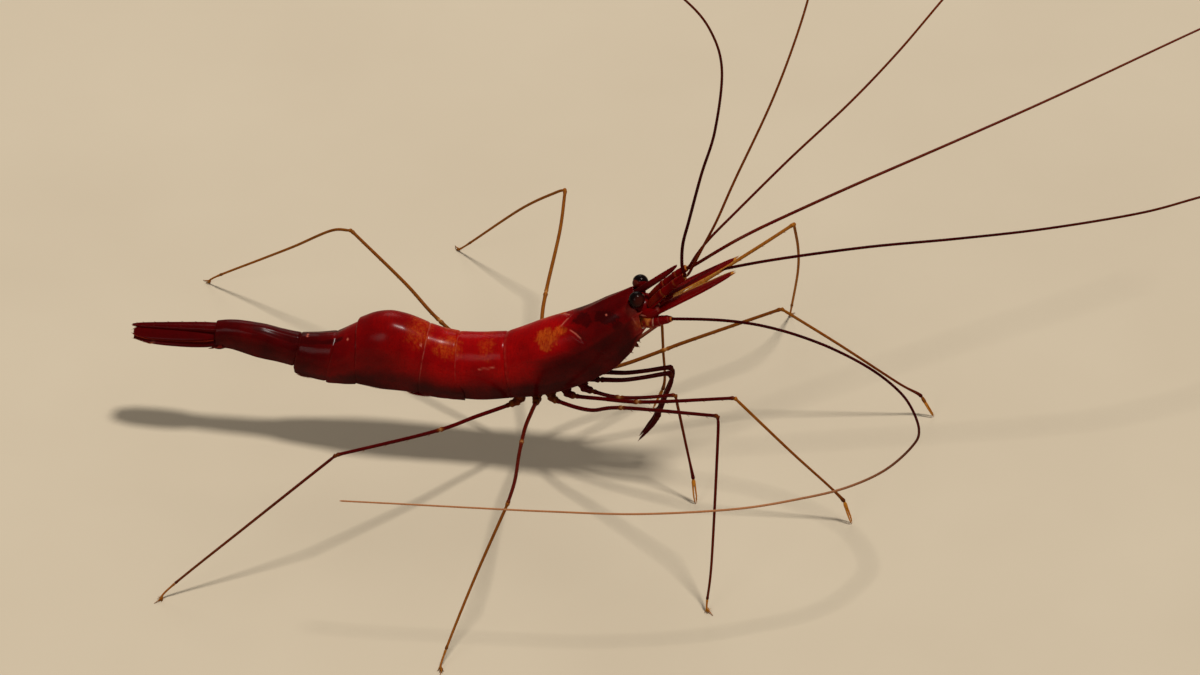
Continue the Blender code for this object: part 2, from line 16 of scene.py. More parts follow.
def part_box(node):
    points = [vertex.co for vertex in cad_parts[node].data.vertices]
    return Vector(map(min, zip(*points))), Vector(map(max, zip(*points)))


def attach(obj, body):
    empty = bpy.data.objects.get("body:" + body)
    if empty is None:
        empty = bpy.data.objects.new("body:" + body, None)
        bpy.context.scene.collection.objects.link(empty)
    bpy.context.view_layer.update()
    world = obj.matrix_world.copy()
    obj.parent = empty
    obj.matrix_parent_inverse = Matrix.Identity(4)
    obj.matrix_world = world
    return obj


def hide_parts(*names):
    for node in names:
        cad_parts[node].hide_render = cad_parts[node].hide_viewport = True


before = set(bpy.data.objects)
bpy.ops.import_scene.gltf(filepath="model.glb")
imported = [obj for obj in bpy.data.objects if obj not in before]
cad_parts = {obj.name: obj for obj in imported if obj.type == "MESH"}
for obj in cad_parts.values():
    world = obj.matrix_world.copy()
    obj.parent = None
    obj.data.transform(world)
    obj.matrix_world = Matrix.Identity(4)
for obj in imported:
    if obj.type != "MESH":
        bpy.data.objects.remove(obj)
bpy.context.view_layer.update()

MM = 0.001
TAU = 2.0 * math.pi
DICE = random.Random(852)
SIDES = (("left", 1), ("right", -1))
MARKS = ("amber", "dark", "pale")       # what each point carries for the materials, from 0 to 1

# --- body sections: (back x, back z), (edge x, edge z), half width ---------------------------------
ARCH_RISE = 1.12              # height of the arched back over the half width
ARCH_SHARE = 0.6              # share of a half ring that the arch takes
FLANK_DRAW = 0.2              # how far the flank draws in at the shell edge
CARAPACE_SECTIONS = [
    ((1.8, 28.3), (3.6, 16.4), 5.60),
    ((5.0, 29.9), (7.2, 17.4), 5.85),
    ((9.0, 32.1), (12.0, 19.2), 6.10),
    ((13.4, 34.2), (16.9, 21.6), 6.15),
    ((17.5, 36.4), (20.5, 23.9), 5.85),
    ((21.2, 38.9), (23.9, 26.4), 5.35),
    ((24.2, 40.7), (26.5, 29.6), 4.85),
    ((27.0, 42.6), (28.6, 32.6), 4.30),
]
HEAD_SECTIONS = [
    ((25.4, 40.2), (27.0, 31.4), 4.00),
    ((27.2, 41.1), (28.2, 33.4), 3.45),
    ((29.0, 41.1), (29.4, 34.6), 3.15),
    ((30.2, 40.7), (30.4, 35.6), 2.60),
]
ABDOMEN_SECTIONS = {
    1: [((1.4, 28.1), (3.1, 16.2), 5.50),
        ((-3.2, 27.4), (-2.2, 15.4), 5.55),
        ((-7.75, 26.95), (-7.4, 15.0), 5.60)],
    2: [((-8.05, 27.0), (-7.7, 14.9), 5.75),
        ((-11.0, 27.5), (-11.5, 15.0), 5.80),
        ((-13.6, 28.25), (-15.2, 15.5), 5.85)],
    3: [((-13.9, 28.4), (-15.5, 15.6), 5.90),
        ((-16.6, 29.5), (-18.0, 15.9), 5.90),
        ((-19.2, 30.35), (-20.5, 16.0), 5.85),
        ((-21.9, 30.7), (-22.8, 16.0), 5.75),
        ((-24.9, 30.05), (-25.2, 16.1), 5.50),
        ((-27.2, 28.8), (-27.6, 16.2), 5.25)],
    4: [((-27.5, 27.9), (-27.9, 16.2), 5.10),
        ((-29.8, 26.4), (-30.5, 15.9), 4.85),
        ((-32.0, 24.9), (-33.9, 15.8), 4.60)],
    5: [((-32.3, 24.75), (-34.2, 15.9), 4.50),
        ((-35.8, 24.2), (-37.2, 16.3), 4.10),
        ((-39.2, 23.9), (-40.5, 16.9), 3.50)],
    6: [((-39.5, 23.9), (-40.8, 18.2), 3.15),
        ((-44.1, 24.7), (-44.4, 18.8), 2.75),
        ((-48.1, 25.5), (-48.3, 19.4), 2.60),
        ((-53.5, 25.7), (-53.3, 20.7), 2.40),
        ((-56.5, 25.2), (-56.3, 20.6), 2.30)],
}
PLATE_LENGTH = {1: 8.9, 2: 6.3, 3: 13.4, 4: 5.0, 5: 6.8, 6: 17.0}
SHELL = 0.28                  # thickness of a shell plate
RIM = 0.42                    # width of the raised rear rim of a plate
PLATE_PITCH = 0.22            # length of a plate's mesh faces
FRONT_SPINES = [              # of the carapace: turn, then rise and width of the foot and of the tip
    (0.50, 0.020, 0.022, 0.030, 0.012),
    (0.86, 0.035, 0.030, 0.035, 0.012),
]

ROSTRUM_SECTIONS = [          # x, top z, height, thickness
    (22.0, 39.2, 1.0, 1.0),
    (24.6, 41.0, 1.8, 1.5),
    (27.0, 42.5, 1.6, 1.3),
    (29.4, 44.65, 1.65, 1.0),
    (32.3, 47.2, 1.55, 0.9),
    (34.2, 48.8, 1.15, 0.65),
    (35.2, 49.5, 0.45, 0.4),
]
TEETH = 17                    # on the beak
EYE_CENTRE = Vector((27.75, 2.75, 42.3))
EYE_RADIUS = 1.6
STALK_ROOT = Vector((28.6, 0.0, 42.0))
STERNUM_SECTIONS = [          # x, underside z, thickness, half width
    (3.6, 15.9, 1.2, 1.5),
    (8.0, 16.9, 1.3, 1.6),
    (13.0, 19.0, 1.3, 1.6),
    (17.5, 21.4, 1.3, 1.7),
    (21.5, 23.8, 1.6, 2.1),
    (25.4, 28.2, 1.6, 1.9),
]

# --- blades: x, centre y, centre z, half width, half thickness -------------------------------------
FAN_STEPS = 90                # rings along a blade of the tail fan
BLADE_SIDES = 28
HAIR_RADIUS = 0.045
TELSON_SPINES = 7             # along each side
TELSON_SECTIONS = [
    (-54.8, 0.0, 24.2, 1.30, 0.80),
    (-57.0, 0.0, 24.1, 1.32, 0.78),
    (-60.0, 0.0, 24.0, 1.25, 0.68),
    (-66.0, 0.0, 23.6, 0.98, 0.52),
    (-71.5, 0.0, 23.2, 0.62, 0.36),
    (-73.6, 0.0, 23.05, 0.24, 0.18),
]
INNER_UROPOD_SECTIONS = [
    (-55.4, 0.95, 22.8, 0.60, 0.45),
    (-56.9, 1.10, 22.9, 0.85, 0.45),
    (-58.8, 1.35, 22.95, 1.12, 0.40),
    (-63.0, 1.50, 22.85, 1.32, 0.32),
    (-69.0, 1.40, 22.55, 1.30, 0.24),
    (-72.0, 1.20, 22.40, 1.00, 0.16),
    (-73.2, 1.10, 22.30, 0.45, 0.12),
]
OUTER_UROPOD_SECTIONS = [
    (-55.4, 1.10, 21.5, 0.80, 0.62),
    (-56.9, 1.25, 21.5, 1.00, 0.60),
    (-58.8, 1.50, 21.6, 1.28, 0.48),
    (-63.0, 1.80, 21.70, 1.46, 0.36),
    (-69.0, 1.75, 21.60, 1.32, 0.26),
    (-73.1, 1.48, 21.40, 0.46, 0.16),
]
UROPODS = [                   # name, sections, and each rib's place across, width and height
    ("inner", INNER_UROPOD_SECTIONS, [(0.1, 0.12, 0.10), (-0.35, 0.1, 0.05)]),
    ("outer", OUTER_UROPOD_SECTIONS, [(0.15, 0.12, 0.12), (0.72, 0.12, 0.12), (-0.3, 0.1, 0.05)]),
]
UROPOD_TILT = 32              # degrees by which a blade's outer edge drops
SCALE_SECTIONS = [            # beside the second feelers
    (31.0, 2.65, 39.0, 0.85, 0.32),
    (33.5, 2.20, 40.9, 1.50, 0.26),
    (35.7, 2.10, 42.5, 1.68, 0.22),
    (41.0, 2.18, 46.3, 1.40, 0.18),
    (45.0, 2.20, 49.3, 0.85, 0.15),
    (46.4, 2.20, 50.4, 0.30, 0.10),
]
PLEOPOD_ROOTS = {             # root x, shell edge z there, side offset, half width, length share
    1: (-2.0, 15.4, 2.5, 1.15, 1.0),
    2: (-10.2, 14.9, 2.5, 1.20, 1.0),
    3: (-18.7, 15.9, 2.5, 1.20, 1.0),
    4: (-28.6, 16.0, 2.1, 1.00, 0.85),
    5: (-34.8, 16.0, 1.7, 0.80, 0.70),
}
PLEOPOD_LEAF = [              # x and z from the root, share of the half width, half thickness
    (-1.6, 0.10, 0.45, 0.30),
    (-2.6, -0.05, 0.82, 0.26),
    (-4.4, -0.20, 0.95, 0.20),
    (-6.6, -0.30, 0.68, 0.15),
    (-8.0, -0.35, 0.12, 0.08),
]

# --- limbs and feelers: x, y, z, and in the stems the radius; joints by their distance from the root
ANTENNULE = [(30.2, 1.4, 40.2, 0.80), (31.5, 1.42, 41.9, 0.90), (32.9, 1.45, 43.6, 0.86),
             (34.0, 1.4, 44.9, 0.78), (35.1, 1.4, 46.1, 0.74), (36.0, 1.38, 47.0, 0.68),
             (37.0, 1.35, 48.0, 0.66)]
ANTENNULE_JOINTS = (4.3, 7.7)
ANTENNULE_FLAGELLA = {
    "outer_right": [(36.95, -1.85, 48.75), (36.4, -1.9, 51.1), (36.6, -2.5, 56.5), (37.8, -3.0, 62.7),
                    (40.1, -4.0, 74.3), (42.7, -5.0, 85.7), (43.9, -6.0, 100.3), (41.6, -6.0, 109.0),
                    (36.8, -6.0, 115.3), (28.5, -6.0, 121.5)],
    "inner_right": [(37.6, -1.05, 48.3), (38.9, -1.1, 51.5), (40.5, -1.2, 55.6), (42.9, -0.5, 61.4),
                    (46.0, 1.0, 70.1), (52.1, 4.0, 86.1), (56.2, 7.0, 99.3), (58.8, 10.0, 110.5),
                    (60.0, 13.0, 121.0)],
    "inner_left": [(37.5, 1.0, 48.6), (38.9, 1.3, 51.4), (41.3, 2.2, 54.9), (45.6, 4.6, 59.4),
                   (55.4, 12.0, 68.2), (65.9, 20.0, 76.8), (74.5, 28.0, 84.4), (84.0, 37.5, 94.0),
                   (93.0, 46.0, 101.5)],
    "outer_left": [(38.0, 1.75, 48.1), (43.2, 3.2, 51.6), (47.1, 6.0, 52.9), (52.9, 11.0, 53.7),
                   (66.4, 22.0, 55.3), (86.5, 37.0, 58.1), (105.0, 50.0, 61.5), (131.4, 68.0, 67.5),
                   (141.0, 74.5, 69.0)],
}
ANTENNA_BASE = [(30.2, 2.9, 36.9, 1.10), (31.4, 3.1, 37.5, 1.15), (32.5, 3.35, 38.15, 0.95),
                (33.4, 3.55, 38.55, 0.86), (34.2, 3.7, 38.9, 0.72), (34.9, 3.85, 39.15, 0.42)]
ANTENNA_JOINTS = (2.7, 4.6)
ANTENNA_SWELLINGS = [         # line, radius, strength of the amber blotches
    ([(28.7, 2.5, 37.0), (30.0, 2.8, 37.3), (31.6, 3.1, 37.6)], 1.35, 0.50),
    ([(28.9, 2.4, 38.7), (30.6, 2.55, 39.2), (32.4, 2.5, 40.4)], 1.05, 0.10),
]
ANTENNA_ROUTES = {            # the lengths that each whip is parted into
    "right": [[(34.7, -3.85, 39.1), (35.4, -4.0, 39.3), (41.1, -4.0, 39.8), (46.5, -3.7, 39.7),
               (52.4, -3.8, 39.3), (59.1, -4.7, 38.5), (66.3, -6.7, 37.5)],
              [(73.3, -10.0, 36.5), (78.7, -13.8, 35.5), (82.4, -18.2, 34.7), (84.9, -24.6, 33.8)],
              [(84.0, -29.2, 33.3), (79.6, -36.5, 33.0), (73.1, -41.9, 32.5), (65.1, -45.7, 32.0)],
              [(53.0, -50.6, 32.0), (35.2, -54.6, 32.0), (18.5, -56.2, 32.0), (4.6, -57.1, 32.0),
               (-9.5, -57.9, 32.0), (-21.0, -58.0, 31.5)]],
    "left": [[(34.7, 3.85, 39.1), (35.4, 4.05, 39.6), (37.5, 4.3, 42.2), (40.2, 4.5, 44.3),
              (43.8, 5.0, 45.6), (54.5, 7.0, 47.7), (71.5, 11.0, 49.4), (88.0, 15.0, 50.1)],
             [(105.0, 19.2, 51.2), (122.9, 24.0, 53.3), (134.2, 28.0, 55.4), (148.0, 35.0, 56.5),
              (160.0, 44.0, 55.5), (169.0, 54.0, 52.5)]],
}
WHIP_TINTS = {                # marks at a whip's root and tip, and the stretch over which they change
    "outer_right": ((0.0, 0.70, 0.0), (0.10, 0.30, 0.0), (0.0, 1.0)),
    "inner_right": ((0.08, 0.0, 0.0), (0.30, 0.0, 0.0), (0.0, 0.35)),
    "inner_left": ((0.02, 0.15, 0.0), (0.16, 0.0, 0.0), (0.0, 0.9)),
    "outer_left": ((0.04, 0.10, 0.0), (0.12, 0.0, 0.0), (0.0, 0.9)),
    "antenna_right": ((0.0, 0.75, 0.0), (0.62, 0.0, 0.55), (0.30, 0.58)),
    "antenna_left": ((0.0, 0.70, 0.0), (0.20, 0.05, 0.0), (0.35, 1.0)),
}
WHIP_PITCH = 0.22             # between a whip's rings
MAXILLIPED = [(17.2, 1.3, 20.3, 0.50), (21.0, 1.25, 20.5, 0.50), (25.0, 1.15, 20.8, 0.46),
              (29.0, 1.05, 21.8, 0.44), (33.6, 0.95, 23.2, 0.48), (34.4, 0.95, 22.6, 0.46),
              (34.4, 0.95, 20.9, 0.42), (33.3, 0.9, 17.3, 0.44), (31.5, 0.85, 11.5, 0.54),
              (29.9, 0.8, 8.5, 0.42), (28.2, 0.8, 5.8, 0.10)]
MAXILLIPED_JOINTS = (3.2, 17.6, 29.0)
HIPS = {                      # the first points of each pair's left thigh
    "5": [(4.4, 2.9, 16.7), (3.9, 3.3, 14.7)],
    "4": [(7.8, 2.9, 18.0), (8.1, 3.3, 15.9)],
    "3": [(11.0, 2.9, 19.1), (10.9, 3.4, 17.1)],
    "2": [(14.2, 2.9, 20.5), (13.9, 3.3, 18.6)],
    "1": [(17.5, 2.95, 22.2), (17.2, 3.3, 20.5)],
}
# Points of each thigh past its hip, of its shin, and its foot on the floor. Then how far its colour
# goes from dark red (0) to yellow (1): on the thigh, at the shin's start and end, and on the foot.
LEGS = {
    "5_right": ([(-2.8, -11.1, 16.4), (-9.9, -19.8, 18.7), (-25.7, -37.0, 25.0)],
                [(-40.5, -45.4, 14.0), (-55.6, -53.6, 2.4)], (-57.4, -55.4), (0.0, 0.02, 0.12, 0.50)),
    "4_right": ([(8.0, -9.2, 17.5), (7.9, -17.3, 19.7), (8.5, -28.5, 22.5), (9.5, -40.4, 25.5),
                 (9.7, -50.1, 28.0)],
                [(4.2, -58.5, 14.9), (-0.5, -66.4, 2.2)], (-0.5, -67.8), (0.02, 0.28, 0.48, 0.60)),
    "3_right": ([(13.0, -5.5, 17.4), (19.7, -10.8, 20.3), (26.8, -15.0, 25.0), (46.8, -28.5, 36.0)],
                [(47.1, -30.3, 31.8), (47.4, -39.8, 9.6), (47.0, -43.4, 1.6)], (47.3, -43.9),
                (0.0, 0.0, 0.06, 0.75)),
    "2_right": ([(15.8, -4.2, 18.2), (21.0, -6.1, 19.6), (30.3, -8.8, 21.9), (48.3, -12.7, 28.0)],
                [(59.4, -12.8, 16.1), (70.3, -12.9, 4.7)], (72.1, -14.0), (0.0, 0.46, 0.22, 0.92)),
    "1_right": ([(18.4, -3.8, 19.8), (23.5, -5.0, 19.5), (28.9, -5.6, 20.3), (35.9, -5.9, 22.0)],
                [(38.2, -8.4, 13.0), (40.4, -10.9, 4.4)], (41.0, -12.2), (0.0, 0.08, 0.0, 0.92)),
    "5_left": ([(-5.5, 8.8, 16.4), (-14.9, 15.1, 19.4), (-22.5, 21.7, 22.5), (-35.1, 31.6, 27.0)],
               [(-39.7, 33.9, 24.8), (-48.1, 37.1, 17.6), (-55.3, 40.0, 11.6), (-66.7, 44.2, 2.4)],
               (-68.5, 44.9), (0.30, 0.38, 0.50, 0.55)),
    "4_left": ([(7.2, 9.6, 17.8), (6.0, 17.7, 20.0), (5.9, 25.0, 21.8), (6.4, 39.6, 25.3),
                (6.0, 50.0, 28.0)],
               [(3.7, 51.3, 26.1), (-4.1, 55.5, 18.1), (-16.7, 62.1, 2.6)], (-19.1, 63.4),
               (0.36, 0.40, 0.50, 0.55)),
    "3_left": ([(13.0, 5.5, 17.4), (19.7, 10.8, 20.3), (27.5, 15.6, 24.0), (46.4, 28.4, 32.4),
                (54.5, 34.2, 36.0)],
               [(55.1, 38.4, 26.9), (54.8, 42.7, 17.6), (53.1, 49.2, 3.2)], (52.7, 50.6),
               (0.50, 0.40, 0.80, 0.70)),
    "2_left": ([(16.8, 4.2, 18.3), (23.0, 5.3, 19.0), (31.6, 8.8, 21.2), (36.3, 10.8, 22.5),
                (54.0, 17.9, 27.0)],
               [(65.4, 19.6, 18.1), (77.6, 21.4, 8.1), (82.5, 22.1, 4.5)], (85.1, 21.6),
               (0.26, 0.52, 0.02, 0.25)),
    "1_left": ([(18.6, 4.4, 20.1), (24.0, 9.8, 20.5), (30.3, 16.8, 22.0)],
               [(30.6, 16.7, 15.3), (30.9, 16.6, 6.5)], (28.7, 16.3), (0.10, 0.36, 0.26, 0.60)),
}
LIMB_SIDES = 12               # of the rings round a leg
STEM_SIDES = 20               # of the rings round a feeler's base
LIMB_PITCH = {"thigh": 0.22, "shin": 0.2, "foot": 0.12, "maxilliped": 0.14, "stem": 0.1}
BRISTLES = {"mouthpart": 9, "stem": 26, "maxilliped": 520, "pincer": 12, "foot": 34}     # how many
THIGH_RADII = (0.42, 0.33)    # at its start and end
SHIN_RADII = (0.30, 0.24)
CHELA_LENGTH = 5.0
PROPODUS_LENGTH = 4.2
FOOT_HEIGHT = 0.10
BENT_FEET = {"3_right": (2.2, (0.72, -0.69, 0.0))}      # its propodus's length, and where its claw points

# --- what shows through and on the shell, with painted shade and glints, for both sides: centre, radii, strength ---
ORANGE_SPOTS = [
    ((10.3, 3.3, 31.5), (2.3, 1.8, 1.7), 0.95),
    ((12.9, 2.9, 33.0), (1.7, 1.1, 0.8), 0.75),
    ((10.1, 4.6, 30.1), (1.2, 1.0, 1.0), 0.80),
    ((-15.6, 1.9, 28.8), (3.2, 3.8, 3.0), 0.46),
    ((-9.6, 3.0, 26.5), (3.2, 2.8, 2.4), 0.50),
    ((-1.9, 2.2, 27.0), (2.1, 2.0, 1.7), 0.42),
    ((-2.0, 3.8, 25.6), (2.3, 1.4, 1.4), 0.36),
    ((28.3, 4.5, 37.4), (1.1, 1.0, 1.7), 0.62),
]
DARK_SPOTS = [
    ((17.4, 2.2, 35.8), (3.4, 1.8, 1.2), 1.3),
    ((21.8, 3.2, 37.6), (3.6, 1.8, 1.4), 1.3),
    ((24.6, 4.4, 36.6), (1.8, 1.4, 1.6), 1.0),
    ((-30.6, 2.6, 25.2), (3.2, 1.6, 1.2), 0.55),
]
# painted shade in the shallow grooves on either side of the tail's back ridge: points of a line, width
GROOVE_SHADE_LINES = [
    ([(-52.2, 0.9, 25.4), (-46.6, 1.0, 24.9), (-41.3, 1.5, 23.7), (-36.0, 1.6, 23.7),
      (-32.6, 1.6, 24.3), (-29.0, 1.5, 26.6)], 0.56),
]
PALE_LINES = [
    ([(14.2, 0.4, 34.6), (13.6, 1.0, 34.3), (12.6, 2.2, 33.4)], 0.14),
    ([(14.5, 3.1, 33.8), (15.9, 4.0, 33.6), (17.2, 4.9, 33.0)], 0.13),
    ([(-3.4, 5.2, 23.2), (-2.9, 5.1, 23.6), (-2.2, 5.05, 23.75), (-1.2, 5.05, 23.85),
      (-0.4, 5.0, 24.1), (0.2, 4.9, 24.5)], 0.12),
    ([(26.9, 4.3, 39.6), (27.6, 4.5, 38.2), (28.4, 4.5, 36.6)], 0.20),
]
# painted glints: small pale highlight specks on the shell
PAINTED_GLINTS = [(-38.2, 0.3, 24.1), (-29.6, 2.4, 25.9), (-14.8, 3.8, 27.2), (21.9, 3.2, 38.2)]

FACE_SPOTS = [((29.0, 2.9, 36.4), (1.6, 1.6, 1.9), 0.95)]
GROOVES = [                   # on the carapace: points of a line, width
    ([(14.8, -1.2, 35.0), (14.2, 0.0, 34.8), (13.6, 1.0, 34.3), (12.6, 2.2, 33.4), (13.4, 3.0, 33.2),
      (14.5, 3.1, 33.8), (15.9, 4.0, 33.6), (17.2, 4.9, 33.0), (18.6, 5.4, 32.2)], 0.45),
]
WIDE_GROOVES = [
    ([(5.5, 5.5, 25.4), (9.5, 5.9, 26.6), (14.0, 6.1, 28.8), (18.5, 5.8, 31.2)], 0.75),
    ([(19.4, 5.4, 32.0), (21.4, 5.3, 30.0), (22.6, 4.9, 28.0)], 0.6),
]

# --- finishes: name; colours of the shell, its clouds, and the dark, amber and pale marks; options -
FINISHES = {
    "shell": ("wet_red_shell", (0.33, 0.0012, 0.0012), (0.22, 0.0006, 0.0014), (0.035, 0.0002, 0.0004),
              (0.35, 0.048, 0.004), (0.55, 0.14, 0.09),
              dict(amber_edge=(0.22, 0.80), mottle=0.55, mottle_strength=0.85, coat=0.11, bump=0.42,
                   fibre=0.75, freckle=0.30)),
    "tail": ("wet_red_tail", (0.075, 0.0005, 0.0009), (0.052, 0.0004, 0.0008), (0.022, 0.0003, 0.0005),
             (0.42, 0.12, 0.02), (0.55, 0.22, 0.14),
             dict(amber_edge=(0.1, 0.9), roughness=0.42, bump=0.35, fibre=0.5, freckle=0.2)),
    "belly": ("soft_belly", (0.11, 0.0015, 0.002), (0.07, 0.001, 0.0015), (0.025, 0.0004, 0.0008),
              (0.42, 0.12, 0.02), (0.45, 0.18, 0.12), dict(amber_edge=(0.05, 1.0), roughness=0.46, soft=0.2)),
    "face": ("soft_face", (0.20, 0.001, 0.0014), (0.12, 0.0006, 0.001), (0.05, 0.0004, 0.0006),
             (0.46, 0.13, 0.02), (0.60, 0.28, 0.18),
             dict(amber_edge=(0.2, 0.9), mottle=0.6, mottle_strength=0.5, roughness=0.42, soft=0.2)),
    "blade": ("thin_red_blade", (0.15, 0.0008, 0.001), (0.10, 0.0005, 0.0008), (0.04, 0.0003, 0.0005),
              (0.52, 0.22, 0.030), (0.60, 0.32, 0.20),
              dict(amber_edge=(0.08, 1.0), roughness=0.46, coat=0.04, soft=0.2)),
    "limb": ("limb_shell", (0.072, 0.0012, 0.0010), (0.050, 0.0008, 0.0008), (0.024, 0.0004, 0.0005),
             (0.42, 0.155, 0.014), (0.58, 0.36, 0.17),
             dict(grain=0.2, mottle=0.8, mottle_strength=0.25, roughness=0.44, soft=0.1)),
    "feeler": ("feeler_shell", (0.095, 0.0008, 0.0006), (0.070, 0.0006, 0.0006), (0.014, 0.0003, 0.0004),
               (0.38, 0.115, 0.010), (0.46, 0.24, 0.12),
               dict(grain=0.2, mottle=1.2, mottle_strength=0.2, roughness=0.50, coat=0.04, soft=0.05)),
    "bristle": ("bristles", (0.16, 0.012, 0.004), (0.12, 0.008, 0.003), (0.03, 0.0006, 0.0008),
                (0.58, 0.32, 0.08), (0.62, 0.42, 0.28), dict(roughness=0.5, coat=0.03, bump=0.05, soft=0.0)),
}

# --- studio, in metres -----------------------------------------------------------------------------
FLOOR_REACH = 3.0             # half its side
FLOOR_COLOURS = ((0.52, 0.43, 0.31), (0.58, 0.49, 0.36))
LAMPS = [                     # name, kind, place, size (degrees for the sun), power
    ("key", "SUN", (0.20, 0.02, 0.83), 8.0, 2.5),
    ("fill", "AREA", (-0.5, -0.9, 0.7), 0.5, 2.2),
    ("back", "AREA", (-0.2, 0.9, 0.6), 0.5, 1.6),
]
LAMP_COLOUR = (1.0, 0.97, 0.92)
LAMP_TARGET = Vector((0.0, 0.0, 0.02))
SKY_COLOUR = (0.82, 0.80, 0.77, 1.0)
SKY_STRENGTH = 0.24
CAMERA_PLACE = (0.07981, -0.76752, 0.63292)
CAMERA_ANGLES = (52.0, 0.0, 8.0)        # degrees

# --- the eye's box sets the animal in the frame ----------------------------------------------------
LOW_EYE, HIGH_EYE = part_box("eye_left")
EYE_MIDDLE = 0.5 * (Vector(LOW_EYE) + Vector(HIGH_EYE))
ORIGIN = Vector((EYE_MIDDLE.x, EYE_MIDDLE.y, 0.0)) - Vector((EYE_CENTRE.x, EYE_CENTRE.y, 0.0)) * MM


# ======================================================================== curves and fields

def place(point):
    """A point of the animal, in the frame's metres."""
    return ORIGIN + Vector(point) * MM


def smooth(low, high, value):
    """0 below low, 1 above high, and an even curve between. low may be the greater."""
    share = min(max((value - low) / (high - low), 0.0), 1.0)
    return share * share * (3.0 - 2.0 * share)


def hump(value, centre, width):
    """A bell of height 1."""
    return math.exp(-((value - centre) / width) ** 2)


def even_shares(steps):
    """The shares of the way after each of some even steps, from 0 to 1."""
    return [k / steps for k in range(steps + 1)]


def shares(rows):
    """The share of the way at each of some rows, from 0 to 1."""
    return even_shares(len(rows) - 1)


def curve_at(rows, share):
    """A row of numbers on a smooth curve through rows, from the first at 0 to the last at 1."""
    reach = share * (len(rows) - 1)
    step = min(max(int(reach), 0), len(rows) - 2)
    t = reach - step
    start, end = rows[step], rows[step + 1]
    if t < 0.0 or t > 1.0:
        return [a + (b - a) * t for a, b in zip(start, end)]
    before = rows[step - 1] if step else [2 * a - b for a, b in zip(start, end)]
    after = rows[step + 2] if step + 2 < len(rows) else [2 * b - a for a, b in zip(start, end)]
    return [0.5 * (2 * b + (c - a) * t + (2 * a - 5 * b + 4 * c - d) * t * t
                   + (3 * b - a - 3 * c + d) * t ** 3)
            for a, b, c, d in zip(before, start, end, after)]


def even_route(points, pitch):
    """Rows of numbers about pitch apart along a curve through points, and the curve's length."""
    runs, parts = len(points) - 1, 16
    dense = [curve_at(points, (step + part / parts) / runs) for step in range(runs) for part in range(parts)]
    dense.append(list(points[-1]))
    lengths = [0.0]
    for a, b in zip(dense, dense[1:]):
        lengths.append(lengths[-1] + (Vector(b[:3]) - Vector(a[:3])).length)
    total = lengths[-1]
    count = max(2, round(total / pitch))
    rows, step = [], 0
    for number in range(count + 1):
        want = total * number / count
        while step < len(lengths) - 2 and lengths[step + 1] < want:
            step += 1
        t = (want - lengths[step]) / (lengths[step + 1] - lengths[step] or 1.0)
        rows.append([p + (q - p) * t for p, q in zip(dense[step], dense[step + 1])])
    return rows, total


def turn_round(count):
    """The cosine and sine of count even steps round a turn."""
    return [(math.cos(TAU * k / count), math.sin(TAU * k / count)) for k in range(count)]


def circle(side, up, count):
    """The directions round a circle that starts at side and goes by up."""
    return [side * c + up * s for c, s in turn_round(count)]


def mirrored(points, side):
    """Points given for the left, moved to the given side."""
    return [(point[0], side * point[1], *point[2:]) for point in points]


def dents(point, size):
    """A slow unevenness from -1 to 1."""
    return noise.noise(Vector(point) / size)


def spot_field(point, spots):
    """How strongly the nearest of some ragged spots shows at a point, on either side of the body."""
    best = 0.0
    ragged = 0.28 * dents(point, 1.1) + 0.22 * dents(point, 0.45)
    for centre, radii, strength in spots:
        offset = [(abs(p) if axis == 1 else p) - c for axis, (p, c) in enumerate(zip(point, centre))]
        reach = math.sqrt(sum((o / r) ** 2 for o, r in zip(offset, radii)))
        if reach < 2.2:
            best = max(best, strength * smooth(1.7, 0.4, reach + ragged))
    return best


def line_field(point, lines):
    """1 on one of some lines, 0 past its width and at its ends, on either side of the body."""
    best = 0.0
    here = Vector((point[0], abs(point[1]), point[2]))
    for points, width in lines:
        for step, (a, b) in enumerate(zip(points, points[1:])):
            a, b = Vector(a), Vector(b)
            along = min(max((here - a).dot(b - a) / (b - a).length_squared, 0.0), 1.0)
            gap = (here - a - (b - a) * along).length
            if gap < 2.0 * width:
                share = (step + along) / (len(points) - 1)
                ends = smooth(0.0, 0.16, share) * smooth(1.0, 0.84, share)
                best = max(best, ends * smooth(1.6 * width, 0.4 * width, gap))
    return best


# ======================================================================== mesh pieces

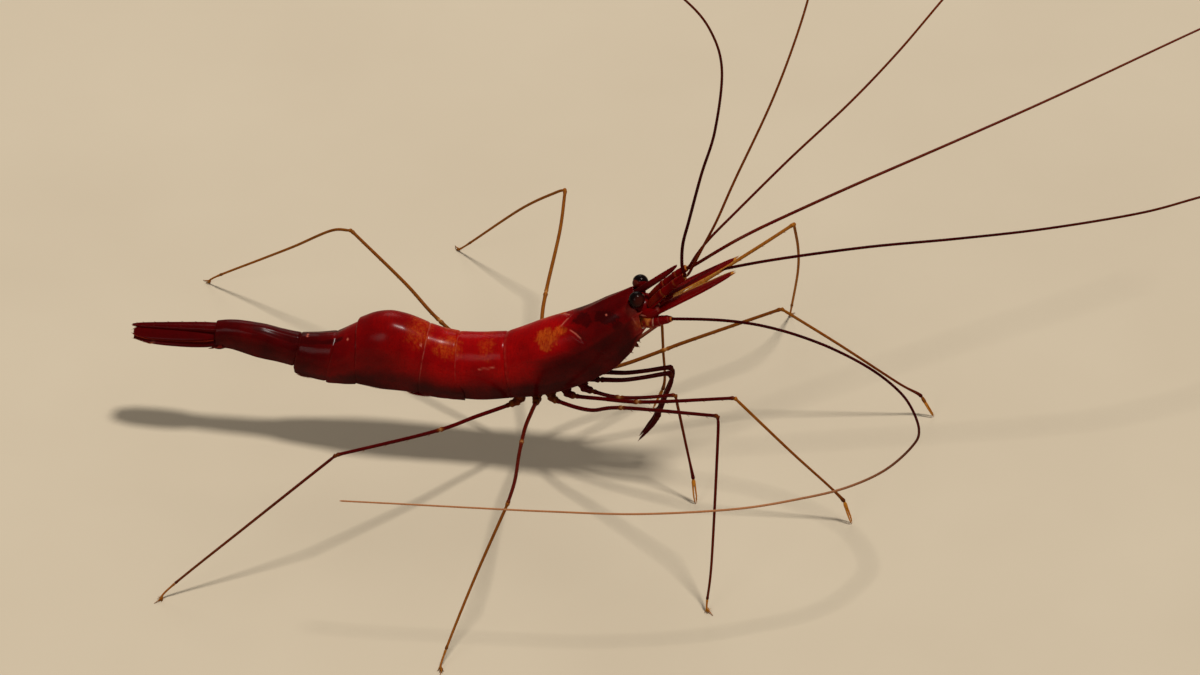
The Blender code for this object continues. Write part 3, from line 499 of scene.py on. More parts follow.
class Form:
    """The points, faces and marks (amber, dark, pale) of one piece, before it becomes a mesh."""

    def __init__(self):
        self.points, self.faces, self.marks, self.patches = [], [], [], []

    def add(self, point, marks, patch=None):
        self.points.append(place(point))
        self.marks.append(marks)
        self.patches.append(patch)
        return len(self.points) - 1

    def add_rings(self, rings, marks):
        """Closed rings in a row, as a tube with capped ends. A ring has one mark or one for each point."""
        marks = [[mark] * len(ring) if isinstance(mark, tuple) else mark for ring, mark in zip(rings, marks)]
        rows = [[self.add(p, m) for p, m in zip(ring, line)] for ring, line in zip(rings, marks)]
        count = len(rows[0])
        pairs = [(number, (number + 1) % count) for number in range(count)]
        for near, far in zip(rows, rows[1:]):
            self.faces += [(near[a], near[b], far[b], far[a]) for a, b in pairs]
        for end in (0, -1):
            row = rows[end]
            middle = self.add(sum((Vector(point) for point in rings[end]), Vector()) / count, marks[end][0])
            self.faces += [(row[a], row[b], middle) if end else (row[b], row[a], middle) for a, b in pairs]

    def add_shell(self, grid, marks):
        """A grid of points as a thin shell: its outer face, its inner face and their rounded rims."""
        normals = grid_normals(grid)
        last_row, last_column = len(grid) - 1, len(grid[0]) - 1

        def skin(depth, rim_depth):
            return [[self.add(point - normals[i][j]
                              * (rim_depth if i in (0, last_row) or j in (0, last_column) else depth),
                              marks[i][j]) for j, point in enumerate(row)] for i, row in enumerate(grid)]

        outer, inner = skin(0.0, 0.35 * SHELL), skin(SHELL, 0.65 * SHELL)
        for i in range(last_row):
            for j in range(last_column):
                self.faces.append((outer[i][j], outer[i + 1][j], outer[i + 1][j + 1], outer[i][j + 1]))
                self.faces.append((inner[i][j], inner[i][j + 1], inner[i + 1][j + 1], inner[i + 1][j]))
        for column in (0, last_column):
            self.faces += [(outer[i][column], outer[i + 1][column], inner[i + 1][column], inner[i][column])
                           for i in range(last_row)]
        for row in (0, last_row):
            self.faces += [(outer[row][j], outer[row][j + 1], inner[row][j + 1], inner[row][j])
                           for j in range(last_column)]

    def add_sheet(self, grid, marks):
        """A grid of points as a single open skin."""
        rows = [[self.add(p, m) for p, m in zip(row, line)] for row, line in zip(grid, marks)]
        for near, far in zip(rows, rows[1:]):
            self.faces += [(near[j], far[j], far[j + 1], near[j + 1]) for j in range(len(near) - 1)]

    def add_rod(self, rows, radii, sides, marks, broad=1.0, across=None):
        """A round or flattened bar along rows of points, with a radius and marks at each."""
        self.add_rings([[centre + way * radius for way in circle(side * broad, up, sides)]
                        for (centre, side, up), radius in zip(frames_along(rows, across), radii)], marks)

    def add_limb(self, points, pitch, sides, radius, mark, broad=1.0, across=None, ends=()):
        """A bar along a curve. radius and mark are functions of the share of the way; ends round it off."""
        rows = even_route(points, pitch)[0]
        radii = blunt([radius(share) for share in shares(rows)], *ends)
        self.add_rod(rows, radii, sides, [mark(share) for share in shares(rows)], broad, across)
        return rows

    def add_spike(self, root, direction, length, radius, mark, bend=(0.0, 0.0, 0.0), patch=None):
        """A thin three-sided bristle or spine, which may bend."""
        direction = Vector(direction).normalized()
        side = direction.orthogonal().normalized()
        centres = [Vector(root) + direction * (t * length) + Vector(bend) * (t * t * length)
                   for t in (0.0, 0.5, 1.0)]
        rows = [[self.add(centre + way * width, mark, patch and (patch[0] + 0.001 * k, patch[1]))
                 for k, way in enumerate(circle(side, direction.cross(side), 3))]
                for centre, width in zip(centres, (radius, 0.7 * radius))]
        tip = self.add(centres[2], mark, patch and (patch[0] + 0.001, patch[1] + 0.003))
        for a, b in ((0, 1), (1, 2), (2, 0)):
            self.faces.append((rows[0][a], rows[0][b], rows[1][b], rows[1][a]))
            self.faces.append((rows[1][a], rows[1][b], tip))
        self.faces.append(tuple(reversed(rows[0])))

    def finish(self, name, material, slot, *nodes):
        """The piece itself: it rides with the body, and may stand for some CAD nodes."""
        mesh = bpy.data.meshes.new(name)
        mesh.from_pydata(self.points, [], self.faces)
        solid = bmesh.new()
        solid.from_mesh(mesh)
        bmesh.ops.recalc_face_normals(solid, faces=solid.faces)
        solid.to_mesh(mesh)
        solid.free()
        for index, word in enumerate(MARKS):
            values = mesh.attributes.new(word, "FLOAT", "POINT")
            values.data.foreach_set("value", [mark[index] for mark in self.marks])
        if any(self.patches):
            layer = mesh.uv_layers.new(name="OFBake")
            for loop in mesh.loops:
                layer.data[loop.index].uv = self.patches[loop.vertex_index]
        mesh.materials.append(material)
        mesh.shade_smooth()
        piece = add_object(name, mesh)
        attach(piece, "root")
        if nodes:
            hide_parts(*nodes)


def add_object(name, data):
    """A new object in the scene."""
    item = bpy.data.objects.new(name, data)
    bpy.context.scene.collection.objects.link(item)
    return item


def blunt(radii, *factors):
    """Radii whose last ones are narrowed, to round off the end of a limb."""
    for back, factor in enumerate(reversed(factors), 1):
        radii[-back] *= factor
    return radii


def grid_normals(grid):
    """The outward direction at each point of a grid whose rows run to the rear and columns to the left."""
    normals = []
    for i, row in enumerate(grid):
        above, below = grid[max(i - 1, 0)], grid[min(i + 1, len(grid) - 1)]
        normals.append([(row[min(j + 1, len(row) - 1)] - row[max(j - 1, 0)]).cross(below[j] - above[j])
                        .normalized() for j in range(len(row))])
    return normals


def dress(grid, detail):
    """Moves each point of a grid outward by detail's lift, and collects the marks of all of them."""
    marks = []
    for i, (row, normals) in enumerate(zip(grid, grid_normals(grid))):
        marks.append([])
        for j, point in enumerate(row):
            lift, mark = detail(i, j, point)
            row[j] = point + normals[j] * lift
            marks[-1].append(mark)
    return marks


def frames_along(rows, across=None):
    """Each point of a route with two crosswise directions, carried along it without twisting."""
    points = [Vector(row[:3]) for row in rows]
    result = []
    side = Vector(across) if across else None
    for number, point in enumerate(points):
        ahead = points[min(number + 1, len(points) - 1)] - points[max(number - 1, 0)]
        ahead.normalize()
        if side is None:
            side = ahead.cross(Vector((0.0, 0.0, 1.0)))
            if side.length < 0.1:
                side = ahead.orthogonal()
        side = (side - ahead * side.dot(ahead)).normalized()
        result.append((point, side, side.cross(ahead)))
    return result


def frame_at(rows, k):
    """The centre of a route at one of its rows, with the directions across, up and ahead."""
    ahead = (Vector(rows[k + 1][:3]) - Vector(rows[k - 1][:3])).normalized()
    return (*frames_along(rows[k - 1:k + 2])[1], ahead)


# ======================================================================== materials

def node(tree, kind, inputs=None, **settings):
    """A new shader node. An input is a value or another node's output."""
    item = tree.nodes.new(kind)
    for key, value in settings.items():
        setattr(item, key, value)
    for key, value in (inputs or {}).items():
        if isinstance(value, bpy.types.NodeSocket):
            tree.links.new(value, item.inputs[key])
        else:
            item.inputs[key].default_value = value
    return item


def maths(tree, operation, first, second, third=0.0, clamp=False):
    """The output of a Math node."""
    return node(tree, "ShaderNodeMath", {0: first, 1: second, 2: third}, operation=operation,
                use_clamp=clamp).outputs[0]


def ramp(tree, value, low, high, bottom=0.0, top=1.0, kind="LINEAR"):
    """A value taken from the range low to high into the range bottom to top."""
    return node(tree, "ShaderNodeMapRange", {0: value, 1: low, 2: high, 3: bottom, 4: top},
                interpolation_type=kind).outputs[0]


def blend(tree, share, first, second):
    """A colour between two, as a shader output."""
    first, second = [(*c, 1.0) if isinstance(c, tuple) else c for c in (first, second)]
    return node(tree, "ShaderNodeMix", {"Factor": share, 6: first, 7: second}, data_type="RGBA").outputs[2]


def speckle(tree, coordinates, size, detail=2.0):
    """A noise from 0 to 1 whose grains are about size millimetres."""
    return node(tree, "ShaderNodeTexNoise", {"Vector": coordinates, "Scale": 1.0 / (size * MM),
                                             "Detail": detail, "Roughness": 0.55}).outputs[0]


def cells(tree, coordinates, size):
    """The distance to the middle of the nearest of many cells about size millimetres across."""
    return node(tree, "ShaderNodeTexVoronoi", {"Vector": coordinates, "Scale": 1.0 / (size * MM)}).outputs[0]


def relief(tree, height, strength, distance, invert=False):
    """A bump of the surface, distance millimetres high."""
    return node(tree, "ShaderNodeBump", {"Height": height, "Strength": strength, "Distance": distance * MM},
                invert=invert).outputs[0]


def start_material(name):
    """A new material, its node tree and its object's coordinates."""
    material = bpy.data.materials.new(name)
    material.use_nodes = True
    tree = material.node_tree
    return material, tree, node(tree, "ShaderNodeTexCoord").outputs["Object"]


def point_marks(tree, *words):
    """Some of the marks that the points carry, as shader outputs."""
    return [node(tree, "ShaderNodeAttribute", attribute_name=word).outputs["Fac"] for word in words]


def end_material(material, **inputs):
    """Links or sets the inputs of a material's shader, whose names have _ for a space."""
    tree = material.node_tree
    for key, value in inputs.items():
        socket = tree.nodes["Principled BSDF"].inputs[key.replace("_", " ")]
        if isinstance(value, bpy.types.NodeSocket):
            tree.links.new(value, socket)
        else:
            socket.default_value = value
    return material


def animal_material(name, red, shade, dark, amber, pale, amber_edge=(0.0, 1.0), grain=0.35, mottle=0.9,
                    mottle_strength=0.1, roughness=0.38, coat=0.06, bump=0.25, soft=0.12, fibre=0.3,
                    freckle=0.0):
    """A wet shell: red clouded with shade, with the piece's amber, dark and pale marks on it."""
    material, tree, coordinates = start_material(name)
    amber_mark, dark_mark, pale_mark = point_marks(tree, *MARKS)
    cloud = speckle(tree, coordinates, 5.0, 3.0)
    fleck = speckle(tree, coordinates, mottle, 3.0)
    fine = speckle(tree, coordinates, grain)
    colour = blend(tree, ramp(tree, cloud, 0.35, 0.68), red, shade)
    jitter = maths(tree, "MULTIPLY_ADD", fleck, 2.0 * mottle_strength, -mottle_strength)
    spotted = maths(tree, "ADD", amber_mark, maths(tree, "MULTIPLY", jitter, amber_mark))
    amber_share = ramp(tree, spotted, *amber_edge, kind="SMOOTHSTEP" if amber_edge[0] else "LINEAR")
    yellow = tuple(min(1.0, 1.35 * value) for value in amber)
    colour = blend(tree, amber_share, colour, blend(tree, fine, amber, yellow))
    stretched = node(tree, "ShaderNodeMapping", {"Vector": coordinates, "Scale": (2.6, 0.55, 0.7)}).outputs[0]
    colour = blend(tree, ramp(tree, speckle(tree, stretched, 0.9), 0.42, 0.72, top=fibre), colour, shade)
    colour = blend(tree, ramp(tree, cells(tree, coordinates, 0.55), 0.30, 0.12, top=freckle), colour, dark)
    dark_share = maths(tree, "MULTIPLY", dark_mark, maths(tree, "MULTIPLY_ADD", cloud, 0.5, 0.72), clamp=True)
    colour = blend(tree, dark_share, colour, dark)
    colour = blend(tree, maths(tree, "MULTIPLY", pale_mark, 0.85), colour, pale)
    height = maths(tree, "ADD", maths(tree, "MULTIPLY", fine, 0.35), fleck)
    return end_material(
        material, Base_Color=colour, Normal=relief(tree, height, bump, 0.12),
        Roughness=ramp(tree, fleck, 0.3, 0.7, roughness - 0.05, roughness + 0.07),
        Specular_IOR_Level=0.012, Specular_Tint=(1.0, 0.42, 0.36, 1.0), Coat_Weight=coat,
        Coat_Roughness=0.20, Subsurface_Weight=soft, Subsurface_Radius=(1.0, 0.12, 0.06),
        Subsurface_Scale=1.2 * MM)


def eye_material():
    """A black eye with fine facets under a clear wet surface; its browner middle is a painted eyeshine."""
    material, tree, coordinates = start_material("faceted_eye")
    amber_mark, pale_mark = point_marks(tree, "amber", "pale")
    fleck = speckle(tree, coordinates, 0.3)
    # painted eyeshine: the amber mark browns the eye's middle, standing in for light glowing back from inside
    # the eye
    painted_eyeshine = maths(tree, "MULTIPLY", amber_mark, maths(tree, "MULTIPLY_ADD", fleck, 0.8, 0.6), clamp=True)
    colour = blend(tree, painted_eyeshine, (0.0035, 0.0015, 0.0015), (0.040, 0.005, 0.003))
    return end_material(
        material, Base_Color=blend(tree, pale_mark, colour, (0.10, 0.012, 0.006)),
        Normal=relief(tree, cells(tree, coordinates, 0.16), 0.12, 0.03, invert=True), Roughness=0.24,
        Specular_IOR_Level=0.035, Specular_Tint=(1.0, 0.6, 0.5, 1.0), Coat_Weight=0.07, Coat_Roughness=0.06)


# ======================================================================== trunk

def flat_rows(sections):
    """Body sections as plain rows of five numbers."""
    return [(*back, *edge, half) for back, edge, half in sections]


def turns(count):
    """Even turns round a half ring, from its right edge at -1 to its left edge at 1."""
    return [-1.0 + 2.0 * j / count for j in range(count + 1)]


def ring_point(row, turn, drop=0.0):
    """A point of a body section: turn is -1 at the right edge, 0 on the back, 1 at the left edge."""
    back_x, back_z, edge_x, edge_z, half = row
    foot = Vector((edge_x, 0.0, edge_z))
    up = Vector((back_x, 0.0, back_z)) - foot
    height = up.length
    up.normalize()
    arch = ARCH_RISE * half
    flank = height - arch
    share = abs(turn)
    if share < ARCH_SHARE:
        angle = 0.25 * TAU * share / ARCH_SHARE
        out, rise = half * math.sin(angle), height - arch * (1.0 - math.cos(angle))
    else:
        level = 1.0 - (share - ARCH_SHARE) / (1.0 - ARCH_SHARE)
        level = level * (1.0 + drop / flank) - drop / flank
        out, rise = half * (1.0 - FLANK_DRAW * (1.0 - level) ** 1.7), level * flank
    return foot + up * rise + Vector((0.0, math.copysign(out, turn), 0.0))


def oval_ring(row, size):
    """A rounded closed ring about the middle of a body section."""
    back_x, back_z, edge_x, edge_z, half = row
    middle = Vector((0.5 * (back_x + edge_x), 0.0, 0.5 * (back_z + edge_z)))
    up = Vector((back_x, 0.0, back_z)) - middle
    ring = []
    for way in turn_round(44):
        c, s = [math.copysign(abs(value) ** 0.9, value) for value in way]
        ring.append(middle + up * (size * s) + Vector((0.0, size * half * c, 0.0)))
    return ring


def shell_marks(point, turn, rim, front=0.0):
    """The marks of a shell plate at a point, with painted shade among them; rim is how near it is to the
    plate's rear edge.
    """
    share = abs(turn)
    # painted shade: the flanks darken towards the shell's lower edge, where the body is turned away from the
    # light above
    belly = smooth(0.52, 0.86, share + 0.03 * dents(point, 2.0))
    cloud = 0.25 * smooth(0.1, 0.6, dents(point, 6.0))
    # darker towards the tail, and towards the front of the carapace, where it is partly the shell's own
    # colour and partly painted shade
    rear = 0.46 * smooth(-14.5, -19.5, point.x) + 0.48 * smooth(-27.0, -37.0, point.x)
    ends = rear + 0.72 * smooth(12.5, 16.5, point.x + dents(point, 2.5))
    # painted shade along the tail's grooves, and the darker patches that show through the shell
    dark = max(belly, cloud, ends, 1.25 * line_field(point, GROOVE_SHADE_LINES),
               0.95 * spot_field(point, DARK_SPOTS), front)
    pale = 0.75 * line_field(point, PALE_LINES)
    # painted glints: small pale highlight specks
    for dot in PAINTED_GLINTS:
        gap = (Vector((point.x, abs(point.y), point.z)) - Vector(dot)).length
        pale = max(pale, smooth(0.34, 0.12, gap))
    pale = max(pale, rim * (0.42 + 0.6 * dents(point, 0.8)) * smooth(0.85, 0.45, share))
    return (spot_field(point, ORANGE_SPOTS), min(dark, 1.0) * (1.0 - 0.5 * pale), pale)


def build_plate(number):
    """One somite of the abdomen: a thin plate that tucks under the one before it."""
    rows, length = flat_rows(ABDOMEN_SECTIONS[number]), PLATE_LENGTH[number]
    last = number == max(PLATE_LENGTH)
    hidden_rows = 6
    steps = max(30, round(length / PLATE_PITCH)) + hidden_rows
    round_turns = turns(110)
    grid, places = [], []
    for i in range(steps + 1):
        grid.append([])
        places.append([])
        for turn in round_turns:
            wing = smooth(0.66, 0.86, abs(turn)) if number == 2 else 0.0
            begin = -0.9 - 0.5 * wing
            end = length + (0.1 if last else 0.55) - 0.35 * smooth(0.8, 1.0, abs(turn))
            if number == 3:
                end += 0.5 * smooth(0.5, 0.0, abs(turn))
            distance = begin + (end - begin) * i / steps
            lobe = 0.22 * math.sin(math.pi * min(max(distance / length, 0.0), 1.0)) - 0.12
            lobe += 0.22 if number > 3 else 0.0
            lobe += 0.34 * smooth(0.6, 1.0, distance / length) if number in (4, 5) else 0.0
            grid[-1].append(ring_point(curve_at(rows, distance / length), turn, lobe))
            places[-1].append((distance, end - distance, wing))

    def detail(i, j, point):
        (distance, to_rear, wing), turn = places[i][j], round_turns[j]
        rim = 0.0 if last else smooth(RIM, 0.4 * RIM, to_rear)
        lift = 0.05 * dents(point, 4.0) + 0.02 * dents(point, 1.6) + 0.26 * smooth(0.5, 0.1, abs(turn))
        if not last:
            lift += 0.02 * rim - (0.05 if number == 3 else 0.13) * smooth(0.5, 0.0, to_rear)
        lift -= 0.18 * (1.0 - wing) * smooth(0.40, 0.0, distance)
        lift += 0.12 * wing * smooth(1.6, 0.6, distance) + 0.07 * hump(abs(turn), 0.97, 0.03)
        lift -= 0.12 * line_field(point, GROOVE_SHADE_LINES)
        return lift, shell_marks(point, turn, rim * (0.9 if number in (1, 2) else 0.06))

    form = Form()
    marks = dress(grid, detail)
    form.add_shell(grid, marks)
    if last:        # its pointed lower corners
        for side in (-1, 1):
            form.add_spike((-55.2, side * 2.05, 21.3), (-1.0, 0.1 * side, -0.22), 1.9, 0.42, (0.0, 0.4, 0.1))
    form.finish("somite_%d" % number, LOOKS["shell"], "abdomen_shell", "abdomen_%d" % number)


def build_belly():
    """The soft underside between the shell edges, ridged at each somite, and the wall by the gills."""
    rows = flat_rows(CARAPACE_SECTIONS[:1] + sum(ABDOMEN_SECTIONS.values(), []))
    steps, ridges = 200, len(ABDOMEN_SECTIONS)
    grid, marks = [], []
    for share in even_shares(steps):
        back_x, back_z, edge_x, edge_z, half = curve_at(rows, share)
        foot = Vector((edge_x, 0.0, edge_z))
        up = (Vector((back_x, 0.0, back_z)) - foot).normalized()
        crest = 0.25 * hump(math.sin(math.pi * ridges * share), 0.0, 0.25)
        across = list(reversed(turns(28)))
        grid.append([foot + up * (1.5 * (1.0 - a * a) + 0.35 - crest * (1.0 - a ** 4))
                     + Vector((0.0, 0.83 * half * a, 0.0)) for a in across])
        marks.append([(0.0, 0.35 + 0.3 * abs(a), 0.0) for a in across])
    form = Form()
    form.add_sheet(grid, marks)
    form.finish("belly_skin", LOOKS["belly"], "belly_shell")

    form = Form()
    rings = []
    for share in [-0.02 + 0.99 * part for part in even_shares(60)]:
        size = 0.87 * (1.0 - 0.5 * smooth(0.84, 0.97, share) ** 2)
        rings.append(oval_ring(curve_at(flat_rows(CARAPACE_SECTIONS), share), size))
    form.add_rings(rings, [[(0.05, 0.25 + 0.3 * dents(point, 1.2), 0.0) for point in ring] for ring in rings])
    form.finish("gill_wall", LOOKS["belly"], "belly_shell")


def carapace_reach(turn):
    """How far forward the carapace goes along its sections at a turn round it, as a share."""
    rows = flat_rows(CARAPACE_SECTIONS)
    share = abs(turn)
    reach = 1.0 + 0.045 * smooth(0.3, 0.55, share) * smooth(1.0, 0.85, share)
    reach -= 0.10 * smooth(0.90, 1.0, share)
    for at, low, broad, high, narrow in FRONT_SPINES:
        reach += low * hump(share, at, broad) + high * hump(share, at, narrow)
    if share < 0.5:         # it stays clear of the eye
        eye = Vector((EYE_CENTRE.x, math.copysign(EYE_CENTRE.y, turn), EYE_CENTRE.z))
        while reach > 0.8 and (ring_point(curve_at(rows, reach), turn) - eye).length <= EYE_RADIUS + 0.35:
            reach -= 0.004
    return reach


def build_carapace():
    """The head shield with its grooves and its front spines."""
    rows = flat_rows(CARAPACE_SECTIONS)
    steps, round_turns = 180, turns(190)
    reaches = [carapace_reach(turn) for turn in round_turns]
    grid = []
    for i in range(steps, -1, -1):
        grid.append([])
        for turn, reach in zip(round_turns, reaches):
            share = -0.018 + (reach + 0.018) * i / steps
            lobe = -0.15 + 0.35 * smooth(0.0, 0.3, share) * smooth(1.0, 0.8, share)
            grid[-1].append(ring_point(curve_at(rows, share), turn, lobe))

    def detail(i, j, point):
        turn, reach = round_turns[j], reaches[j]
        share = reach * (1.0 - i / steps)
        side = abs(turn)
        rear = smooth(0.030, 0.012, share)
        edge = smooth(0.10, 0.03, reach - share) * smooth(0.2, 0.4, side)
        lift = 0.05 * dents(point, 4.5) + 0.02 * dents(point, 1.7) + 0.26 * smooth(0.5, 0.1, side)
        lift += 0.55 * hump(point.y, 0.0, 0.55) * smooth(0.45, 0.95, share)
        lift -= 0.22 * line_field(point, GROOVES) + 0.10 * line_field(point, WIDE_GROOVES)
        lift += 0.12 * edge - 0.08 * rear + 0.10 * hump(side, 0.965, 0.03)
        lift += 0.16 * hump(side, 0.50, 0.035) * smooth(0.84, 1.0, share)
        # the shield's front darkens, most low down: partly its own colour, partly painted shade
        front = max(0.92 * smooth(8.0, 13.0, point.x + 0.3 * (32.0 - point.z)) * smooth(0.36, 0.54, side),
                    0.86 * smooth(13.0, 19.0, point.x) * smooth(0.42, 0.22, side))
        amber, dark, pale = shell_marks(point, turn, 0.15 * rear, front)
        thin = smooth(0.15, 0.02, reach - share) * smooth(0.38, 0.50, side) * smooth(0.97, 0.85, side)
        return lift, (amber, dark * (1.0 - 0.55 * thin),
                      max(pale, 0.10 * edge * (1.0 + dents(point, 1.0))))

    form = Form()
    marks = dress(grid, detail)
    form.add_shell(grid, marks)
    form.finish("head_shield", LOOKS["shell"], "head_shell", "carapace")


def build_rostrum():
    """The beak: a thin keel with a ridge along each side and a row of small teeth on top."""
    form = Form()
    rings, marks = [], []
    tooth_mark = (0.1, 0.2, 0.1)
    for share in even_shares(70):
        x, top, height, thick = curve_at(ROSTRUM_SECTIONS, share)
        ring = []
        for c, s in turn_round(16):
            across = c * abs(c) ** 0.3 * (1.0 + 0.25 * hump(abs(s), 0.0, 0.3))
            ring.append(Vector((x, 0.5 * thick * across, top - 0.58 * height * (1.0 - s))))
        rings.append(ring)
        # painted shade: the beak darkens most at its base between the eyes
        marks.append((0.0, 0.85 + 0.4 * hump(x, 27.3, 1.4), 0.0))
    form.add_rings(rings, marks)
    for share in even_shares(TEETH - 1):
        x, top, height, thick = curve_at(ROSTRUM_SECTIONS, 0.05 + 0.86 * share)
        form.add_spike((x, 0.0, top - 0.12), (0.95, 0.0, 0.85), 0.62, 0.13, tooth_mark)
    x, top, height, thick = curve_at(ROSTRUM_SECTIONS, 0.8)
    form.add_spike((x, 0.0, top - 0.9 * height), (1.0, 0.0, 0.2), 0.6, 0.12, tooth_mark)
    form.finish("beak", LOOKS["shell"], "head_shell")


def build_face():
    """The soft front of the head under the eyes, with its rods and spines."""
    form = Form()
    rings, marks = [], []
    for share in even_shares(40):
        ring = oval_ring(curve_at(flat_rows(HEAD_SECTIONS), share), 1.0 - 0.4 * smooth(0.8, 1.0, share) ** 2)
        ring = [point + Vector((0.05 * dents(point, 0.9), 0.0, 0.05 * dents(point, 0.7))) for point in ring]
        rings.append(ring)
        marks.append([(spot_field(point, FACE_SPOTS),
                       0.25 + 0.2 * smooth(36.0, 40.0, point.z) + 0.5 * smooth(34.6, 31.8, point.z), 0.0)
                      for point in ring])
    form.add_rings(rings, marks)
    for side in (-1, 1):
        for lift in (0.0, 1.5):
            line = [(27.9, side * 3.45, 35.4 + lift), (28.9, side * 3.3, 36.9 + lift * 0.6),
                    (30.2, side * 2.9, 37.5 + lift * 0.8)]
            form.add_limb(line, 0.25, 6, lambda share: 0.16, lambda share: (0.3, 0.0, 0.30))
        form.add_spike((28.5, side * 3.3, 38.9), (0.9, 0.25 * side, 0.15), 1.5, 0.3, (0.25, 0.1, 0.2))
    form.finish("face", LOOKS["face"], "head_shell")


def build_mouthparts():
    """Four pairs of small flat mouthparts, each with a few bristles."""
    form = Form()
    for side in (-1, 1):
        for number in range(4):
            start = Vector((21.4 + 1.3 * number, side * (1.5 - 0.12 * number), 25.9 + 1.3 * number))
            tip = start + Vector((2.5, -0.35 * side, -1.2 + 0.2 * number))
            bend = (start + tip) / 2 + Vector((0.6, 0.3 * side, 0.5))
            route = form.add_limb([start, bend, tip], 0.2, 10,
                                  lambda share: 0.15 + 0.48 * math.sin(math.pi * (0.12 + 0.82 * share)),
                                  lambda share: (0.01 + 0.14 * smooth(0.55, 1.0, share), 0.1, 0.0),
                                  broad=0.55)
            for k in range(BRISTLES["mouthpart"]):
                spread = Vector((DICE.uniform(-0.3, 0.3), DICE.uniform(-0.3, 0.3), DICE.uniform(-0.6, 0.1)))
                form.add_spike(route[-1 - k % 4], (tip - start).normalized() + spread, 0.6, 0.035,
                               (0.5, 0.0, 0.0))
    form.finish("mouthparts", LOOKS["limb"], "belly_shell")


def build_sternum():
    """The breast plate, with a raised band at each pair of legs."""
    form = Form()
    rings, marks = [], []
    bands = 6.5
    for share in even_shares(90):
        x, under, thick, half = curve_at(STERNUM_SECTIONS, share)
        band = 0.12 * math.cos(TAU * bands * share)
        rings.append([])
        for c, s in turn_round(20):
            rise = 0.5 * thick * (1.0 + s) - band * max(-s, 0.0)
            rings[-1].append(Vector((x, half * (1.0 + 0.6 * band) * c, under + rise)))
        marks.append((0.1, 0.3 - 1.5 * band, 0.0))
    form.add_rings(rings, marks)
    form.finish("breast", LOOKS["belly"], "belly_shell", "sternum")


def build_eyes():
    """Two faceted eyes on short stalks joined between them."""
    stalks = Form()
    for word, side in SIDES:
        centre = Vector((EYE_CENTRE.x, side * EYE_CENTRE.y, EYE_CENTRE.z))
        axis = Vector((0.55, 0.80 * side, 0.25)).normalized()
        across = axis.orthogonal().normalized()
        ways = circle(across, axis.cross(across), 48)
        form = Form()
        rings, marks = [], []
        for angle in [math.pi * i / 40 for i in range(1, 40)]:
            reach = EYE_RADIUS * (1.0 - 0.05 * hump(angle, 2.05, 0.16))
            middle = centre + axis * (reach * math.cos(angle))
            rings.append([middle + way * (reach * math.sin(angle)) for way in ways])
            # amber carries the painted eyeshine: browner round the eye's outward axis
            marks.append((smooth(1.15, 0.35, angle), 0.0, 0.8 * smooth(2.0, 2.25, angle)))
        form.add_rings(rings, marks)
        form.finish("eyeball_" + word, LOOKS["eye"], "eye", "eye_" + word)
        bend = STALK_ROOT.lerp(centre, 0.5) + Vector((0.25, 0.0, -0.15))
        rows = even_route([STALK_ROOT, bend, centre], 0.1)[0]
        radii = [0.55 + 0.80 * smooth(0.25, 0.75, share) for share in shares(rows)]
        stalks.add_rod(rows[:-4], radii[:-4], 24, [(0.1, 0.6, 0.0)] * (len(rows) - 4))
    stalks.finish("eye_stalks", LOOKS["face"], "head_shell", "eyestalks")


# ======================================================================== blades and the tail

def blade_rings(sections, side, tilt, steps, ribs):
    """Lens-shaped rings of a thin blade whose outer edge drops by tilt degrees, and its two edges.

    A rib is its place across the blade from -1 to 1, its width there and its height.
    """
    lean = math.radians(tilt)
    slope = math.atan2(sections[-1][2] - sections[0][2], sections[-1][0] - sections[0][0])
    rings, edges = [], []
    for share in even_shares(steps):
        x, y, z, half, thick = curve_at(sections, share)
        ring = []
        for c, s in turn_round(BLADE_SIDES):
            through = math.copysign(abs(s) ** 0.8, s) * thick
            for middle, width, height in ribs:
                through += height * hump(c, middle, width) * (1.0 if through > 0 else -0.5)
            out = c * half * math.cos(lean) + through * math.sin(lean)
            rise = through * math.cos(lean) - c * half * math.sin(lean)
            forward = -rise * math.sin(slope) * math.copysign(1.0, math.cos(slope))
            ring.append(Vector((x + forward, side * (y + out), z + rise * abs(math.cos(slope)))))
        rings.append(ring if side > 0 else ring[::-1])
        middle = Vector((x, side * y, z))
        lip = Vector((0.0, side * half * math.cos(lean), -half * math.sin(lean)))
        edges.append((middle - lip, middle + lip, middle))
    return rings, edges


def edge_marks(rings, amber, dark, tip=0.3):
    """Marks of a blade: the same all round each ring, and lighter at its end."""
    return [(amber + tip * smooth(0.82, 1.0, share), dark + 0.3 * smooth(0.2, 0.0, share), 0.0)
            for share in shares(rings)]


def add_fringe(form, edges, cell, reach, spacing, sweep, start, inner=True, outer=True, tint=0.2):
    """Fine hairs along the edges of a blade, each with its own patch of the unwrap."""
    column, columns = cell
    middle = [edge[2] for edge in edges]
    for which in [which for which, wanted in ((0, inner), (1, outer)) if wanted]:
        line = [edge[which] for edge in edges]
        count = int(sum((b - a).length for a, b in zip(line, line[1:])) / spacing)
        for number in range(int(start * count), count + 1):
            share = number / count
            at = share * (len(line) - 1)
            step = min(int(at), len(line) - 2)
            root = line[step].lerp(line[step + 1], at - step)
            out = (root - middle[step].lerp(middle[step + 1], at - step)).normalized()
            ahead = (line[step + 1] - line[step]).normalized()
            way = out * (1.0 - 0.6 * share) + ahead * (sweep + 0.35 + 0.65 * share)
            way += Vector([DICE.uniform(-0.12, 0.12) for axis in range(3)])
            length = reach * (0.7 + 0.3 * math.sin(math.pi * share)) * DICE.uniform(0.8, 1.15)
            patch = ((column + 0.2 + 0.3 * which + 0.1 * share) / columns, 0.05 + 0.9 * share)
            form.add_spike(root, way, length, HAIR_RADIUS, (tint * (0.6 + 0.8 * DICE.random()), 0.0, 0.0),
                           bend=ahead * 0.15, patch=patch)


